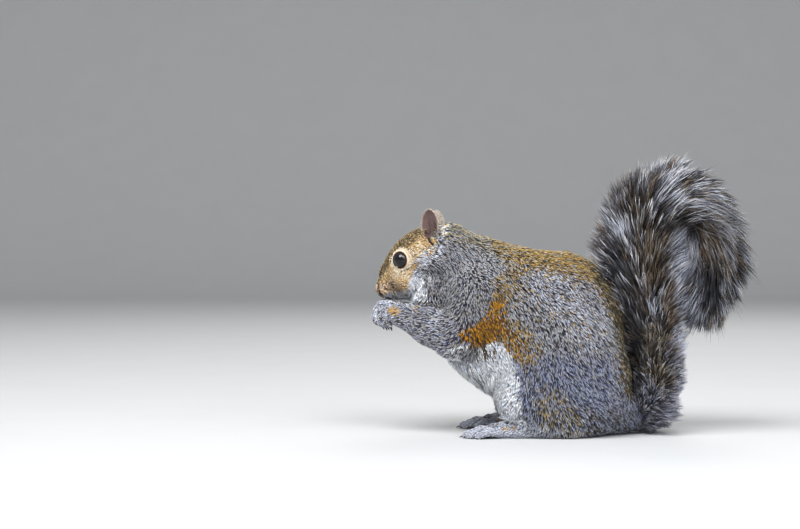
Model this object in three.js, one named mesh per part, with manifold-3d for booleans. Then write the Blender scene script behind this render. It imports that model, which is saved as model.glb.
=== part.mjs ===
// Grey squirrel, life size, sitting up on its haunches with both forepaws held
// to its mouth and the tail raised behind the back and curled over at the top.
// Millimetres. The nose points to -X, the animal's left side is -Y, +Z is up,
// and the soles of the hind feet, the haunches and the root of the tail rest
// on z = 0. The outline everywhere is the outline of the coat.
//
// The flesh is one smooth solid, blended from swept sections, limbs and
// ellipsoids, and parted by thin cuts into the parts a person names.
import * as THREE from 'three';
import Module from 'manifold-3d';

// ---- driving dimensions ---------------------------------------------------
const GAP = 0.3;                 // width of every thin cut
const EVEN = 6e-4;             // how strongly thinning keeps edges of even length
// Lattice each smooth solid is traced on, and its triangles after thinning.
const BODY_MESH = { cell: 2.7, faces: 2930 };
const HEAD_MESH = { cell: 1.5, faces: 820 };
const PAW_MESH = { cell: 0.9, faces: 250 };
const FOOT_MESH = { cell: 0.9, faces: 400 };
const HEAD_YAW = THREE.MathUtils.degToRad(8);    // the head turns towards the animal's right
const NECK_PIVOT = [-68.2, 105.3];

// Stations of the three swept bodies: x, z, half height in the XZ plane, half width across it.
const HEAD_STATIONS = [[-108.5, 84.8, 3.2, 3.2], [-104.4, 88.0, 7.0, 6.4], [-100.3, 92.4, 9.4, 9.6],
  [-94.3, 98.0, 12.0, 13.4], [-87.2, 103.4, 14.0, 16.4], [-78.6, 106.5, 15.1, 17.4], [-69.3, 105.8, 16.3, 17.6]];
const TRUNK_STATIONS = [[-69.3, 104.0, 17.8, 17.5], [-58.8, 96.2, 24.0, 21.5], [-45.9, 84.8, 32.8, 27],
  [-29.5, 70.8, 45.0, 32.5], [-10.7, 57.9, 49.7, 36.5], [-0.3, 42.7, 44.2, 37], [7.9, 31.0, 31.4, 32]];
const TAIL_STATIONS = [[44.2, 8.2, 9.4, 19], [52.9, 18.7, 15.8, 25], [55.9, 32.2, 18.1, 28], [54.7, 49.7, 19.3, 30],
  [50.6, 68.4, 19.9, 31], [46.0, 87.8, 22.8, 32], [42.0, 107.1, 25.8, 32], [47.1, 125.2, 25.2, 32],
  [58.8, 138.1, 22.8, 32], [73.4, 138.6, 19.9, 31], [85.7, 126.4, 19.9, 30], [89.9, 108.2, 21.0, 28],
  [88.8, 89.5, 18.4, 24], [84.8, 73.1, 13.0, 17], [81.6, 59.7, 5.0, 6]];

// Ellipsoids: x, y, z of the centre, three radii, tilt about Y in degrees (positive lifts the nose's end).
const WHISKER_PAD = [-105.0, -3.2, 84.5, 5.8, 4.0, 4.2, -40];
const CHEEK = [-91.6, -9.2, 90.1, 8.5, 6.5, 7.5, 0];
const CHIN = [-100.3, 0, 81.6, 7.0, 4.4, 3.6, -20];
const JAW = [-94.0, 0, 84.6, 9.5, 9.5, 6.2, 0];
const CROWN = [-81.6, -7, 110.6, 9, 8, 7, 0];
const EAR_ROOT = [-75.0, -12.6, 112.6, 5.4, 3.4, 6.0, 8];
const BELLY = [-55.5, 0, 42.5, 17, 17, 8, 35];
const CHEST = [-73.5, 0, 81.5, 18.5, 16.5, 17, 0];
const RUMP = [27, 0, 12.6, 17, 20, 13.4, 0];
const PALM = [-102.7, -5.4, 71.7, 8.0, 4.9, 6.2, 25];
const KNUCKLES = [-107.9, -4.8, 69.6, 4.6, 4.6, 6.4, 15];
const HAUNCH = [2.0, -20, 36.3, 33.4, 20, 39, -10];

// Limbs of the left side: x, y, z, radius at each joint.
const UPPER_ARM = [[-50.0, -17, 79.0, 17], [-63.5, -21, 56.7, 12.2]];
const FOREARM = [[-63.5, -21, 56.7, 12.2], [-78.7, -15.5, 62.7, 10.4], [-93.9, -8.6, 68.7, 7.2]];
const SHANK = [[-25.2, -21, 20.6, 16.0], [-2.6, -24, 8.8, 11]];
const FINGERS = { count: 4, y: -2.6, pitch: -1.9, x: -107.6, rake: 1.58, radii: [2.1, 1.75, 1.35] };
const FOOT = { y: -26, heel: [0.9, 5.6, 5.8], ball: [-42.4, 4.0, 4.6] };
// Toes, from the outer one to the inner one: offset across, length, lift.
const TOES = [[-6.0, 9.5, 0], [-3.2, 14.6, 0.4], [0, 16.4, 0.6], [3.2, 14.8, 0.4], [6.2, 7.6, 0]];
const TOE_RADII = [2.5, 2.15, 1.95];

const EYE = { x: -94.9, z: 101.4, radius: 5.0, sink: 2.9, socket: GAP };
const EAR = { x: -76.4, y: -12.6, z: 113.4, length: 18.0, root: 3.4, halfWidth: 5.9, cup: 3.6, thickness: 1.25, face: [-0.42, -0.9, 0.12], lean: [0.02, -0.16, 1] };
const NOSE = { x: -109.6, z: 85.4, radii: [3.3, 3.0, 4.2] };
const CLAW = { fore: 3.6, hind: 4.8, root: 0.95, tip: 0.28, bend: 0.9 };

// ---- the smooth solid -----------------------------------------------------
const smin = (a, b, k) => { const h = Math.max(k - Math.abs(a - b), 0) / k; return Math.min(a, b) - h * h * k * 0.25; };

class Sweep {
  constructor(stations, segments) {
    const at = (i) => stations[Math.min(Math.max(i, 0), stations.length - 1)];
    const end = (i) => (i < 0 ? at(0).map((v, k) => 2 * v - at(1)[k])
      : i >= stations.length ? at(i).map((v, k) => 2 * v - at(stations.length - 2)[k]) : at(i));
    this.rows = [];
    for (let s = 0; s <= segments; s++) {
      const t = (s / segments) * (stations.length - 1), i = Math.min(Math.floor(t), stations.length - 2), f = t - i;
      const [a, b, c, d] = [end(i - 1), end(i), end(i + 1), end(i + 2)];
      this.rows.push(b.map((_, k) => 0.5 * (2 * b[k] + (c[k] - a[k]) * f + (2 * a[k] - 5 * b[k] + 4 * c[k] - d[k]) * f * f
        + (3 * b[k] - a[k] - 3 * c[k] + d[k]) * f * f * f)));
    }
    this.last = [NaN, NaN];
  }
  at(x, y, z) {
    if (x !== this.last[0] || z !== this.last[1]) {
      this.last = [x, z];
      let best = Infinity;
      for (let i = 0; i + 1 < this.rows.length; i++) {
        const p = this.rows[i], q = this.rows[i + 1], bx = q[0] - p[0], bz = q[1] - p[1];
        const t = Math.min(Math.max(((x - p[0]) * bx + (z - p[1]) * bz) / (bx * bx + bz * bz), 0), 1);
        const dx = x - p[0] - t * bx, dz = z - p[1] - t * bz, d = dx * dx + dz * dz;
        if (d < best) { best = d; this.h = p[2] + (q[2] - p[2]) * t; this.w = p[3] + (q[3] - p[3]) * t; }
      }
      this.d = best;
    }
    const { h, w, d } = this, y2 = y * y;
    const k0 = Math.sqrt(d / (h * h) + y2 / (w * w)) + 1e-9, k1 = Math.sqrt(d / h ** 4 + y2 / w ** 4) + 1e-12;
    return k0 * (k0 - 1) / k1;
  }
}

function ball(x, y, z, [cx, cy, cz, a, b, c, tilt]) {
  const t = tilt * Math.PI / 180, X = x - cx, Y = y - cy, Z = z - cz;
  const u = X * Math.cos(t) - Z * Math.sin(t), v = X * Math.sin(t) + Z * Math.cos(t);
  const k0 = Math.hypot(u / a, Y / b, v / c) + 1e-9, k1 = Math.hypot(u / (a * a), Y / (b * b), v / (c * c)) + 1e-12;
  return k0 * (k0 - 1) / k1;
}
function limb(x, y, z, joints, k) {
  let d = Infinity;
  for (let i = 0; i + 1 < joints.length; i++) {
    const [ax, ay, az, ra] = joints[i], [bx, by, bz, rb] = joints[i + 1];
    const ex = bx - ax, ey = by - ay, ez = bz - az;
    const t = Math.min(Math.max(((x - ax) * ex + (y - ay) * ey + (z - az) * ez) / (ex * ex + ey * ey + ez * ez), 0), 1);
    const e = Math.hypot(x - ax - t * ex, y - ay - t * ey, z - az - t * ez) - (ra + t * (rb - ra));
    d = d === Infinity ? e : smin(d, e, k);
  }
  return d;
}

const headSweep = new Sweep(HEAD_STATIONS, 36), trunkSweep = new Sweep(TRUNK_STATIONS, 44), tailSweep = new Sweep(TAIL_STATIONS, 80);
const C = Math.cos(HEAD_YAW), N = Math.sin(HEAD_YAW);
const toHead = (x, y) => { const X = x - NECK_PIVOT[0]; return [X * C - y * N + NECK_PIVOT[0], X * N + y * C]; };
const fromHead = (x, y) => { const X = x - NECK_PIVOT[0]; return [X * C + y * N + NECK_PIVOT[0], -X * N + y * C]; };

function headField(X, Y, z) {                       // in the head's own frame
  const y = -Math.abs(Y);
  let d = headSweep.at(X, Y, z);
  d = smin(d, ball(X, y, z, WHISKER_PAD), 2.5);
  d = smin(d, ball(X, y, z, CHEEK), 5);
  d = smin(d, ball(X, y, z, CHIN), 3);
  d = smin(d, ball(X, y, z, JAW), 4);
  d = smin(d, ball(X, y, z, CROWN), 5);
  return smin(d, ball(X, y, z, EAR_ROOT), 3);
}
const finger = (j) => {
  const y = FINGERS.y + FINGERS.pitch * j, x = FINGERS.x + FINGERS.rake * j, r = FINGERS.radii;
  return [[x - 2.6, y, 69.0, r[0]], [x - 1.5, y, 64.9, r[1]], [x + 1.2, y + 0.3, 63.1, r[2]]];
};
const toe = ([off, length, lift]) => {
  const b = FOOT.ball, y = FOOT.y;
  return [[b[0] + 3, y + off * 0.62, 3.6, TOE_RADII[0]], [b[0] - length * 0.5, y + off * 0.92, 4 + lift, TOE_RADII[1]],
    [b[0] - length, y + off * 1.12, 1.8, TOE_RADII[2]]];
};
const fingers = Array.from({ length: FINGERS.count }, (_, j) => finger(j)), toes = TOES.map(toe);
const sole = [[FOOT.heel[0], FOOT.y + 1, FOOT.heel[1], FOOT.heel[2]], [FOOT.ball[0] + 14, FOOT.y, 4.6, 4.9], [FOOT.ball[0], FOOT.y, FOOT.ball[1], FOOT.ball[2]]];

const within = (x, y, z, [x0, y0, z0, x1, y1, z1]) => x > x0 && x < x1 && y > y0 && y < y1 && z > z0 && z < z1;
const ARM_BOX = [-116, -50, 18, -14, 14, 116], LEG_BOX = [-60, -58, -16, 60, 16, 108], FOOT_BOX = [-60, -46, -10, 14, -8, 20];
function field(x, y, z) {
  let d = trunkSweep.at(x, y, z);
  if (x < -40 && z > 50) d = smin(d, headField(...toHead(x, y), z), 7);
  d = smin(d, ball(x, y, z, BELLY), 6);
  d = smin(d, ball(x, y, z, CHEST), 6);
  if (x > -5 && z < 45) d = smin(d, ball(x, y, z, RUMP), 7);
  for (const side of [1, -1]) {
    const v = y * side;                               // the left limbs, then their mirror
    if (within(x, v, z, LEG_BOX)) d = smin(d, smin(ball(x, v, z, HAUNCH), limb(x, v, z, SHANK, 2), 8), 9);
    if (within(x, v, z, ARM_BOX)) d = smin(d, smin(limb(x, v, z, UPPER_ARM, 4), limb(x, v, z, FOREARM, 4), 5), 7);
    if (within(x, v, z, FOOT_BOX)) d = smin(d, limb(x, v, z, sole, 3), 2.5);
  }
  return x > -15 ? smin(d, tailSweep.at(x, y, z), 4) : d;
}
function pawField(x, y, z) {
  let d = smin(ball(x, y, z, PALM), ball(x, y, z, KNUCKLES), 3);
  for (const f of fingers) d = smin(d, limb(x, y, z, f, 1), 1.0);
  return smin(d, limb(x, y, z, FOREARM, 4), 3);
}
function footField(x, y, z) {
  let d = limb(x, y, z, sole, 3);
  for (const f of toes) d = smin(d, limb(x, y, z, f, 1.5), 1.1);
  return d;
}

// ---- tracing the zero level on a lattice, six tetrahedra to a cell ---------
function trace(fn, lo, hi, h) {
  const n = lo.map((v, i) => Math.ceil((hi[i] - v) / h) + 1), sx = n[1] * n[2], sz = n[1];
  const val = new Float32Array(n[0] * n[1] * n[2]);
  for (let i = 0, q = 0; i < n[0]; i++) for (let k = 0; k < n[2]; k++) for (let j = 0; j < n[1]; j++, q++)
    val[q] = Math.max(fn(lo[0] + i * h, lo[1] + j * h, lo[2] + k * h) || 1e-6,      // closed at the border of the lattice
      i === 0 || j === 0 || k === 0 || i === n[0] - 1 || j === n[1] - 1 || k === n[2] - 1 ? h / 2 : -Infinity);
  const corner = [0, sx, sx + 1, 1, sz, sx + sz, sx + sz + 1, sz + 1];      // 0..3 below, 4..7 above, counter-clockwise
  const tets = [[0, 5, 1, 6], [0, 1, 2, 6], [0, 2, 3, 6], [0, 3, 7, 6], [0, 7, 4, 6], [0, 4, 5, 6]];
  const pts = [], tris = [], seen = new Map();
  const place = (q) => [lo[0] + Math.floor(q / sx) * h, lo[1] + (q % sz) * h, lo[2] + Math.floor((q % sx) / sz) * h];
  const cross = (a, b) => {
    const key = a < b ? a * val.length + b : b * val.length + a;
    let id = seen.get(key);
    if (id === undefined) {
      const t = Math.min(Math.max(val[a] / (val[a] - val[b]), 0.02), 0.98), p = place(a), q = place(b);
      id = pts.push(p.map((v, i) => v + (q[i] - v) * t)) - 1;
      seen.set(key, id);
    }
    return id;
  };
  for (let i = 0; i + 1 < n[0]; i++) for (let k = 0; k + 1 < n[2]; k++) for (let j = 0; j + 1 < n[1]; j++) {
    const o = i * sx + k * sz + j;
    let low = 0;
    for (const c of corner) if (val[o + c] < 0) low++;
    if (low === 0 || low === 8) continue;
    for (const t of tets) {
      const q = t.map((c) => o + corner[c]), inn = q.filter((v) => val[v] < 0), out = q.filter((v) => val[v] >= 0);
      if (!inn.length || !out.length) continue;
      const face = (a, b, c) => {
        const A = pts[a], B = pts[b], D = pts[c], P = place(inn[0]), Q = place(out[0]);
        const u = B.map((v, m) => v - A[m]), w = D.map((v, m) => v - A[m]);
        const nx = u[1] * w[2] - u[2] * w[1], ny = u[2] * w[0] - u[0] * w[2], nz = u[0] * w[1] - u[1] * w[0];
        const out_ = nx * (Q[0] - P[0]) + ny * (Q[1] - P[1]) + nz * (Q[2] - P[2]) > 0;
        tris.push(out_ ? [a, b, c] : [a, c, b]);
      };
      if (inn.length === 1) face(cross(inn[0], out[0]), cross(inn[0], out[1]), cross(inn[0], out[2]));
      else if (inn.length === 3) face(cross(inn[0], out[0]), cross(inn[1], out[0]), cross(inn[2], out[0]));
      else {
        const [a, b, c, d] = [cross(inn[0], out[0]), cross(inn[0], out[1]), cross(inn[1], out[1]), cross(inn[1], out[0])];
        face(a, b, c); face(a, c, d);
      }
    }
  }
  return { pts, tris };
}

// ---- thinning: collapse the edges that change the shape least --------------
function thin({ pts, tris }, target, weight = () => 1) {
  const V = pts.length, F = tris.length, P = new Float64Array(3 * V), T = new Int32Array(3 * F), Q = new Float64Array(10 * V), W = new Float64Array(V);
  const fans = Array.from({ length: V }, () => []), age = new Int32Array(V), alive = new Uint8Array(F).fill(1);
  pts.forEach((p, i) => { P.set(p, 3 * i); W[i] = weight(p); });
  const nrm = new Float64Array(5);                    // normal, its length, longest edge squared
  const shape = (ax, ay, az, bx, by, bz, cx, cy, cz) => {
    const ux = bx - ax, uy = by - ay, uz = bz - az, wx = cx - ax, wy = cy - ay, wz = cz - az;
    nrm[0] = uy * wz - uz * wy; nrm[1] = uz * wx - ux * wz; nrm[2] = ux * wy - uy * wx;
    nrm[3] = Math.sqrt(nrm[0] * nrm[0] + nrm[1] * nrm[1] + nrm[2] * nrm[2]);
    const vx = cx - bx, vy = cy - by, vz = cz - bz;
    nrm[4] = Math.max(ux * ux + uy * uy + uz * uz, wx * wx + wy * wy + wz * wz, vx * vx + vy * vy + vz * vz, 1e-12);
  };
  tris.forEach((t, f) => {
    T.set(t, 3 * f);
    const [A, B, D] = t.map((i) => pts[i]);
    shape(...A, ...B, ...D);
    const L = nrm[3] || 1e-12, a = nrm[0] / L, b = nrm[1] / L, c = nrm[2] / L, d = -(a * A[0] + b * A[1] + c * A[2]);
    const q = [a * a, a * b, a * c, a * d, b * b, b * c, b * d, c * c, c * d, d * d];
    for (const i of t) { fans[i].push(f); for (let k = 0; k < 10; k++) Q[10 * i + k] += q[k] * L * W[i]; }
  });
  const S = new Float64Array(10);
  const best = (i, j) => {
    for (let k = 0; k < 10; k++) S[k] = Q[10 * i + k] + Q[10 * j + k];
    const mx = (P[3 * i] + P[3 * j]) / 2, my = (P[3 * i + 1] + P[3 * j + 1]) / 2, mz = (P[3 * i + 2] + P[3 * j + 2]) / 2;
    const e = 0.02 * (S[0] + S[4] + S[7]), a = S[0] + e, b = S[1], c = S[2], d = S[4] + e, f = S[5], g = S[7] + e;
    const rx = -S[3] + e * mx, ry = -S[6] + e * my, rz = -S[8] + e * mz;
    const det = a * (d * g - f * f) - b * (b * g - f * c) + c * (b * f - d * c);
    const x = (rx * (d * g - f * f) - b * (ry * g - f * rz) + c * (ry * f - d * rz)) / det;
    const y = (a * (ry * g - f * rz) - rx * (b * g - f * c) + c * (b * rz - ry * c)) / det;
    const z = (a * (d * rz - ry * f) - b * (b * rz - ry * c) + rx * (b * f - d * c)) / det;
    const cost = S[0] * x * x + 2 * S[1] * x * y + 2 * S[2] * x * z + 2 * S[3] * x + S[4] * y * y + 2 * S[5] * y * z + 2 * S[6] * y + S[7] * z * z + 2 * S[8] * z + S[9];
    const l = (P[3 * i] - P[3 * j]) ** 2 + (P[3 * i + 1] - P[3 * j + 1]) ** 2 + (P[3 * i + 2] - P[3 * j + 2]) ** 2;
    return { c: Math.max(cost, 0) + EVEN * l * l * Math.max(W[i], W[j]), x, y, z, i, j, ai: age[i], aj: age[j] };
  };
  const heap = [];
  const push = (e) => { let k = heap.push(e) - 1; while (k && heap[(k - 1) >> 1].c > e.c) { heap[k] = heap[(k - 1) >> 1]; k = (k - 1) >> 1; } heap[k] = e; };
  const pop = () => {
    const top = heap[0], e = heap.pop();
    if (heap.length) { let k = 0; for (;;) { let m = 2 * k + 1; if (m >= heap.length) break; if (m + 1 < heap.length && heap[m + 1].c < heap[m].c) m++; if (heap[m].c >= e.c) break; heap[k] = heap[m]; k = m; } heap[k] = e; }
    return top;
  };
  const ring = (i) => { const s = []; for (const f of fans[i]) for (let k = 0; k < 3; k++) { const v = T[3 * f + k]; if (v !== i && !s.includes(v)) s.push(v); } return s; };
  const spoils = (k, other, x, y, z, guard) => {
    for (const f of fans[k]) {
      const a = T[3 * f], b = T[3 * f + 1], c = T[3 * f + 2];
      if (a === other || b === other || c === other) continue;
      shape(P[3 * a], P[3 * a + 1], P[3 * a + 2], P[3 * b], P[3 * b + 1], P[3 * b + 2], P[3 * c], P[3 * c + 1], P[3 * c + 2]);
      const ox = nrm[0], oy = nrm[1], oz = nrm[2], oL = nrm[3], before = oL / nrm[4];
      const q = (v, m) => (v === k ? (m === 0 ? x : m === 1 ? y : z) : P[3 * v + m]);
      shape(q(a, 0), q(a, 1), q(a, 2), q(b, 0), q(b, 1), q(b, 2), q(c, 0), q(c, 1), q(c, 2));
      const fat = nrm[3] / nrm[4];
      if ((before > guard / 2 && ox * nrm[0] + oy * nrm[1] + oz * nrm[2] < 0.2 * oL * nrm[3]) || (fat < guard && fat < before)) return true;
    }
    return false;
  };
  let left = F, guard = 0.35;
  while (left > target && guard > 0.01) {
    if (!heap.length) {                               // first pass, or everything left was refused: ask again, less strictly
      for (let i = 0; i < V; i++) if (fans[i].length) for (const j of ring(i)) if (i < j) push(best(i, j));
      guard *= 0.7;
    }
    const { i, j, x, y, z, ai, aj } = pop();
    if (ai !== age[i] || aj !== age[j] || !fans[i].length || !fans[j].length) continue;
    const rj = ring(j);
    if (ring(i).filter((v) => rj.includes(v)).length !== 2) continue;
    if (spoils(i, j, x, y, z, guard) || spoils(j, i, x, y, z, guard)) continue;
    P[3 * i] = x; P[3 * i + 1] = y; P[3 * i + 2] = z;
    W[i] = Math.max(W[i], W[j]);
    for (let k = 0; k < 10; k++) Q[10 * i + k] += Q[10 * j + k];
    for (const f of fans[j]) {
      const o = 3 * f;
      if (T[o] === i || T[o + 1] === i || T[o + 2] === i) {
        alive[f] = 0; left--;
        for (let k = 0; k < 3; k++) if (T[o + k] !== j) fans[T[o + k]] = fans[T[o + k]].filter((v) => v !== f);
      } else { for (let k = 0; k < 3; k++) if (T[o + k] === j) T[o + k] = i; fans[i].push(f); }
    }
    fans[j] = []; age[i]++; age[j]++;
    for (const k of ring(i)) push(best(i, k));
  }
  const out = [];
  for (let f = 0; f < F; f++) if (alive[f]) out.push([T[3 * f], T[3 * f + 1], T[3 * f + 2]]);
  return { pts: Array.from({ length: V }, (_, i) => [P[3 * i], P[3 * i + 1], P[3 * i + 2]]), tris: out };
}

// ---- joins and cuts ---------------------------------------------------------
const wasm = await Module();
wasm.setup();
const { Manifold, Mesh } = wasm;
function solid(pts, tris) {
  const used = new Map(), v = [], t = [];
  for (const f of tris) for (const i of f) { if (!used.has(i)) { used.set(i, v.length / 3); v.push(...pts[i]); } t.push(used.get(i)); }
  return new Manifold(new Mesh({ numProp: 3, vertProperties: new Float32Array(v), triVerts: new Uint32Array(t) }));
}
const SPAN = 400;
// The part of space on the near side of every plane: point, normal; grown by g.
const region = (planes, g) => planes.reduce((m, [p, n]) => {
  const L = Math.hypot(...n);
  return m.trimByPlane(n.map((v) => v / L), (p[0] * n[0] + p[1] * n[1] + p[2] * n[2]) / L - g);
}, Manifold.cube([SPAN, SPAN, SPAN], true));
const egg = ([x, y, z, a, b, c, tilt], g, segments = 16) => Manifold.sphere(1, segments).scale([a + g, b + g, c + g]).rotate([0, tilt, 0]).translate([x, y, z]);
const mirrored = (s) => (s > 0 ? (m) => m : (m) => m.mirror([0, 1, 0]));

// One ear: a thin cupped blade, rounded at the top, its root let into the head.
function ear(side, g) {
  const U = new THREE.Vector3(...EAR.lean).normalize(), F = new THREE.Vector3(...EAR.face);
  F.addScaledVector(U, -F.dot(U)).normalize();
  const W = new THREE.Vector3().crossVectors(U, F), rows = 8, cols = 6, pts = [], tris = [];
  for (const back of [0, 1]) for (let r = 0; r <= rows; r++) {
    const rise = 0.42;
    const t = r < 4 ? -EAR.root / EAR.length + (rise + EAR.root / EAR.length) * (r / 4) : rise + (1 - rise) * Math.sin(1.42 * (r - 4) / (rows - 4));
    const w = t > rise ? Math.sqrt(Math.max(1 - ((t - rise) / (1 - rise)) ** 2, 0)) : 1 - 0.34 * ((rise - t) / rise) ** 1.5;
    const cup = EAR.cup * (t > rise ? 1 - 0.75 * ((t - rise) / (1 - rise)) : 1);
    for (let c = 0; c <= cols; c++) {
      const s = (c / cols) * 2 - 1;
      const p = new THREE.Vector3(EAR.x, EAR.y, EAR.z).addScaledVector(U, EAR.length * t + (r === 0 ? -g : r === rows ? g : 0))
        .addScaledVector(W, (EAR.halfWidth * w + g) * s)
        .addScaledVector(F, -cup * (1 - s * s) + (back ? -EAR.thickness - g * (1 + 1.8 * s * s) : g * (1 + 4.2 * s * s)));
      const [x, y] = fromHead(p.x, p.y * side);
      pts.push([x, y, p.z]);
    }
  }
  const id = (b, r, c) => (b * (rows + 1) + r) * (cols + 1) + c;
  const quad = (a, b, c, d) => (side > 0 ? tris.push([a, b, c], [a, c, d]) : tris.push([a, c, b], [a, d, c]));
  for (let r = 0; r < rows; r++) for (let c = 0; c < cols; c++) {
    quad(id(0, r, c), id(0, r, c + 1), id(0, r + 1, c + 1), id(0, r + 1, c));
    quad(id(1, r, c), id(1, r + 1, c), id(1, r + 1, c + 1), id(1, r, c + 1));
  }
  for (let c = 0; c < cols; c++) { quad(id(0, 0, c), id(1, 0, c), id(1, 0, c + 1), id(0, 0, c + 1)); quad(id(0, rows, c), id(0, rows, c + 1), id(1, rows, c + 1), id(1, rows, c)); }
  for (let r = 0; r < rows; r++) { quad(id(0, r, 0), id(0, r + 1, 0), id(1, r + 1, 0), id(1, r, 0)); quad(id(0, r, cols), id(1, r, cols), id(1, r + 1, cols), id(0, r + 1, cols)); }
  return solid(pts, tris);
}

// One claw: a bent cone from inside the tip of a digit, leaving along dir and drooping.
function claw([x, y, z], dir, length, g, side) {
  const D = new THREE.Vector3(...dir).normalize(), A = new THREE.Vector3(0, 1, 0), B = new THREE.Vector3().crossVectors(D, A).normalize();
  const rings = 3, around = 5, pts = [], tris = [];
  for (let r = 0; r <= rings; r++) {
    const t = r / rings, rad = CLAW.root + (CLAW.tip - CLAW.root) * t + g;
    const o = new THREE.Vector3(x, y, z).addScaledVector(D, length * t + (r === 0 ? -g : 0)).addScaledVector(new THREE.Vector3(0, 0, -1), CLAW.bend * t * t);
    for (let k = 0; k < around; k++) {
      const a = (k / around) * 2 * Math.PI, p = o.clone().addScaledVector(A, rad * 0.8 * Math.cos(a)).addScaledVector(B, rad * Math.sin(a));
      pts.push([p.x, p.y * side, p.z]);
    }
  }
  const put = (a, b, c) => tris.push(side > 0 ? [a, b, c] : [a, c, b]);
  for (let r = 0; r < rings; r++) for (let k = 0; k < around; k++) {
    const a = r * around + k, b = r * around + ((k + 1) % around), c = a + around, d = b + around;
    put(a, b, d); put(a, d, c);
  }
  for (let k = 1; k + 1 < around; k++) { put(0, k + 1, k); const q = rings * around; put(q, q + k, q + k + 1); }
  return solid(pts, tris);
}

// ---- building ---------------------------------------------------------------
const whole = thin(trace(field, [-120, -46, -8], [122, 46, 172], BODY_MESH.cell), BODY_MESH.faces);
const skull = thin(trace(field, [-114, -24, 75], [-60, 28, 129], HEAD_MESH.cell), HEAD_MESH.faces);
const paw = thin(trace(pawField, [-115, -17, 58], [-88, 1.5, 82], PAW_MESH.cell), PAW_MESH.faces);
const foot = thin(trace(footField, [-62, -37, -2], [-20, -16, 14], FOOT_MESH.cell), FOOT_MESH.faces);
const from = ({ pts, tris }, s = 1) => (s > 0 ? solid(pts, tris) : solid(pts.map(([x, y, z]) => [x, -y, z]), tris.map(([a, b, c]) => [a, c, b]))).trimByPlane([0, 0, 1], 0);
let rest = from(whole);
const pieces = new Map();
const largest = (m) => m.decompose().sort((a, b) => b.volume() - a.volume())[0];
function take(name, make, source = rest) {
  pieces.set(name, largest(source.intersect(make(0))));
  rest = rest.subtract(make(GAP));
}
function letIn(host, name, make) {
  pieces.set(name, make(0));
  pieces.set(host, largest(pieces.get(host).subtract(make(GAP))));
}
const joinTo = (host, m) => pieces.set(host, pieces.get(host).add(m));
const SIDES = [['left', 1], ['right', -1]];
const half = (s) => [[0, -GAP / 2 * s, 0], [0, -s, 0]];              // the animal's left is -Y

for (const [n, s] of SIDES) take(`hind_foot_${n}`, (g) => region([[[-27.8, 0, 5], [-1, 0, -0.3]], [[0, 0, 12.5], [0, 0, -1]], [[0, -16.2 * s, 0], [0, -s, 0]]], g), from(foot, s));
for (const [n, s] of SIDES) take(`forepaw_${n}`, (g) => region([[[-96.4, 0, 69], [-0.93, 0, 0.37]], [[-105, 0, 78.6], [-0.1, 0, -1]], half(s)], g), from(paw, s));
for (const [n, s] of SIDES) take(`forearm_${n}`, (g) => region([[[-77.5, 0, 79], [-0.914, 0, -0.406]], [[-77, 0, 78.6], [0.05, 0, -1]], [[-71.5, 0, 43.8], [0.53, 0, 0.85]], half(s)], g));
for (const [n, s] of SIDES) take(`upper_arm_${n}`, (g) => egg([-55.5, -29 * s, 70, 18.5, 18, 27, 28], g));
const noseEgg = (g) => egg([...fromHead(NOSE.x, 0), NOSE.z, ...NOSE.radii, 0], g, 12);
const chinUp = region([[[-105, 0, 78.6 + GAP], [0.1, 0, 1]], [[-77, 0, 78.6 + GAP], [-0.05, 0, 1]]], 0);
const headWhole = from(skull).intersect(chinUp), head = headWhole.subtract(noseEgg(GAP));
take('nose', noseEgg, headWhole);
take('head', (g) => region([[[-65.8, 0, 124.6], [-0.932, 0, 0.363]]], g), head);
take('neck', (g) => region([[[-50.6, 0, 121.1], [-0.913, 0, 0.407]]], g));
for (const [n, s] of SIDES) take(`thigh_${n}`, (g) => egg([-2, -36 * s, 33, 40, 24, 43, -10], g, 12));

// The tail leaves the back along the line of the back itself.
const BACK_LINE = [[4.4, 109.4], [10.2, 105.3], [17.8, 98.3], [24.3, 91.2], [30.2, 82.4], [34.5, 72.6], [37.1, 60.3], [37.1, 41.5], [34.8, 29.5], [33.9, 20], [35.5, 10], [37.5, -8]];
function tailRegion(g) {
  const curve = new THREE.CatmullRomCurve3(BACK_LINE.map(([x, z]) => new THREE.Vector3(x, 0, z))), pts = [], tris = [], n = 12;
  const line = [[BACK_LINE[0][0] - 2 - g, 200]];
  for (let i = 0; i <= n; i++) { const p = curve.getPoint(i / n), t = curve.getTangent(i / n); line.push([p.x + t.z * g, p.z - t.x * g]); }
  line.push([140, -8], [140, 200]);
  const shape = new THREE.Shape(line.map(([x, z]) => new THREE.Vector2(x, z)));
  const flat = THREE.ShapeUtils.triangulateShape(shape.getPoints(), []), ring = shape.getPoints(), m = ring.length;
  const ccw = THREE.ShapeUtils.area(ring) > 0;
  for (const y of [-60, 60]) for (const p of ring) pts.push([p.x, y, p.y]);
  for (const [a, b, c] of flat) { tris.push([a, b, c], [m + a, m + c, m + b]); }
  for (let i = 0; i < m; i++) { const j = (i + 1) % m; if (ccw) tris.push([i, m + j, j], [i, m + i, m + j]); else tris.push([i, j, m + j], [i, m + j, m + i]); }
  return solid(pts, tris);
}
const bodyPart = largest(rest.subtract(tailRegion(GAP)));
rest = largest(rest.intersect(tailRegion(0)));
take('tail_tip', (g) => region([[[69.4, 0, 112], [1, 0, 0.02]]], g));
take('tail_base', (g) => region([[[50, 0, 62], [0.12, 0, -1]]], g));
pieces.set('tail_middle', largest(rest));
pieces.set('trunk', bodyPart);

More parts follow.
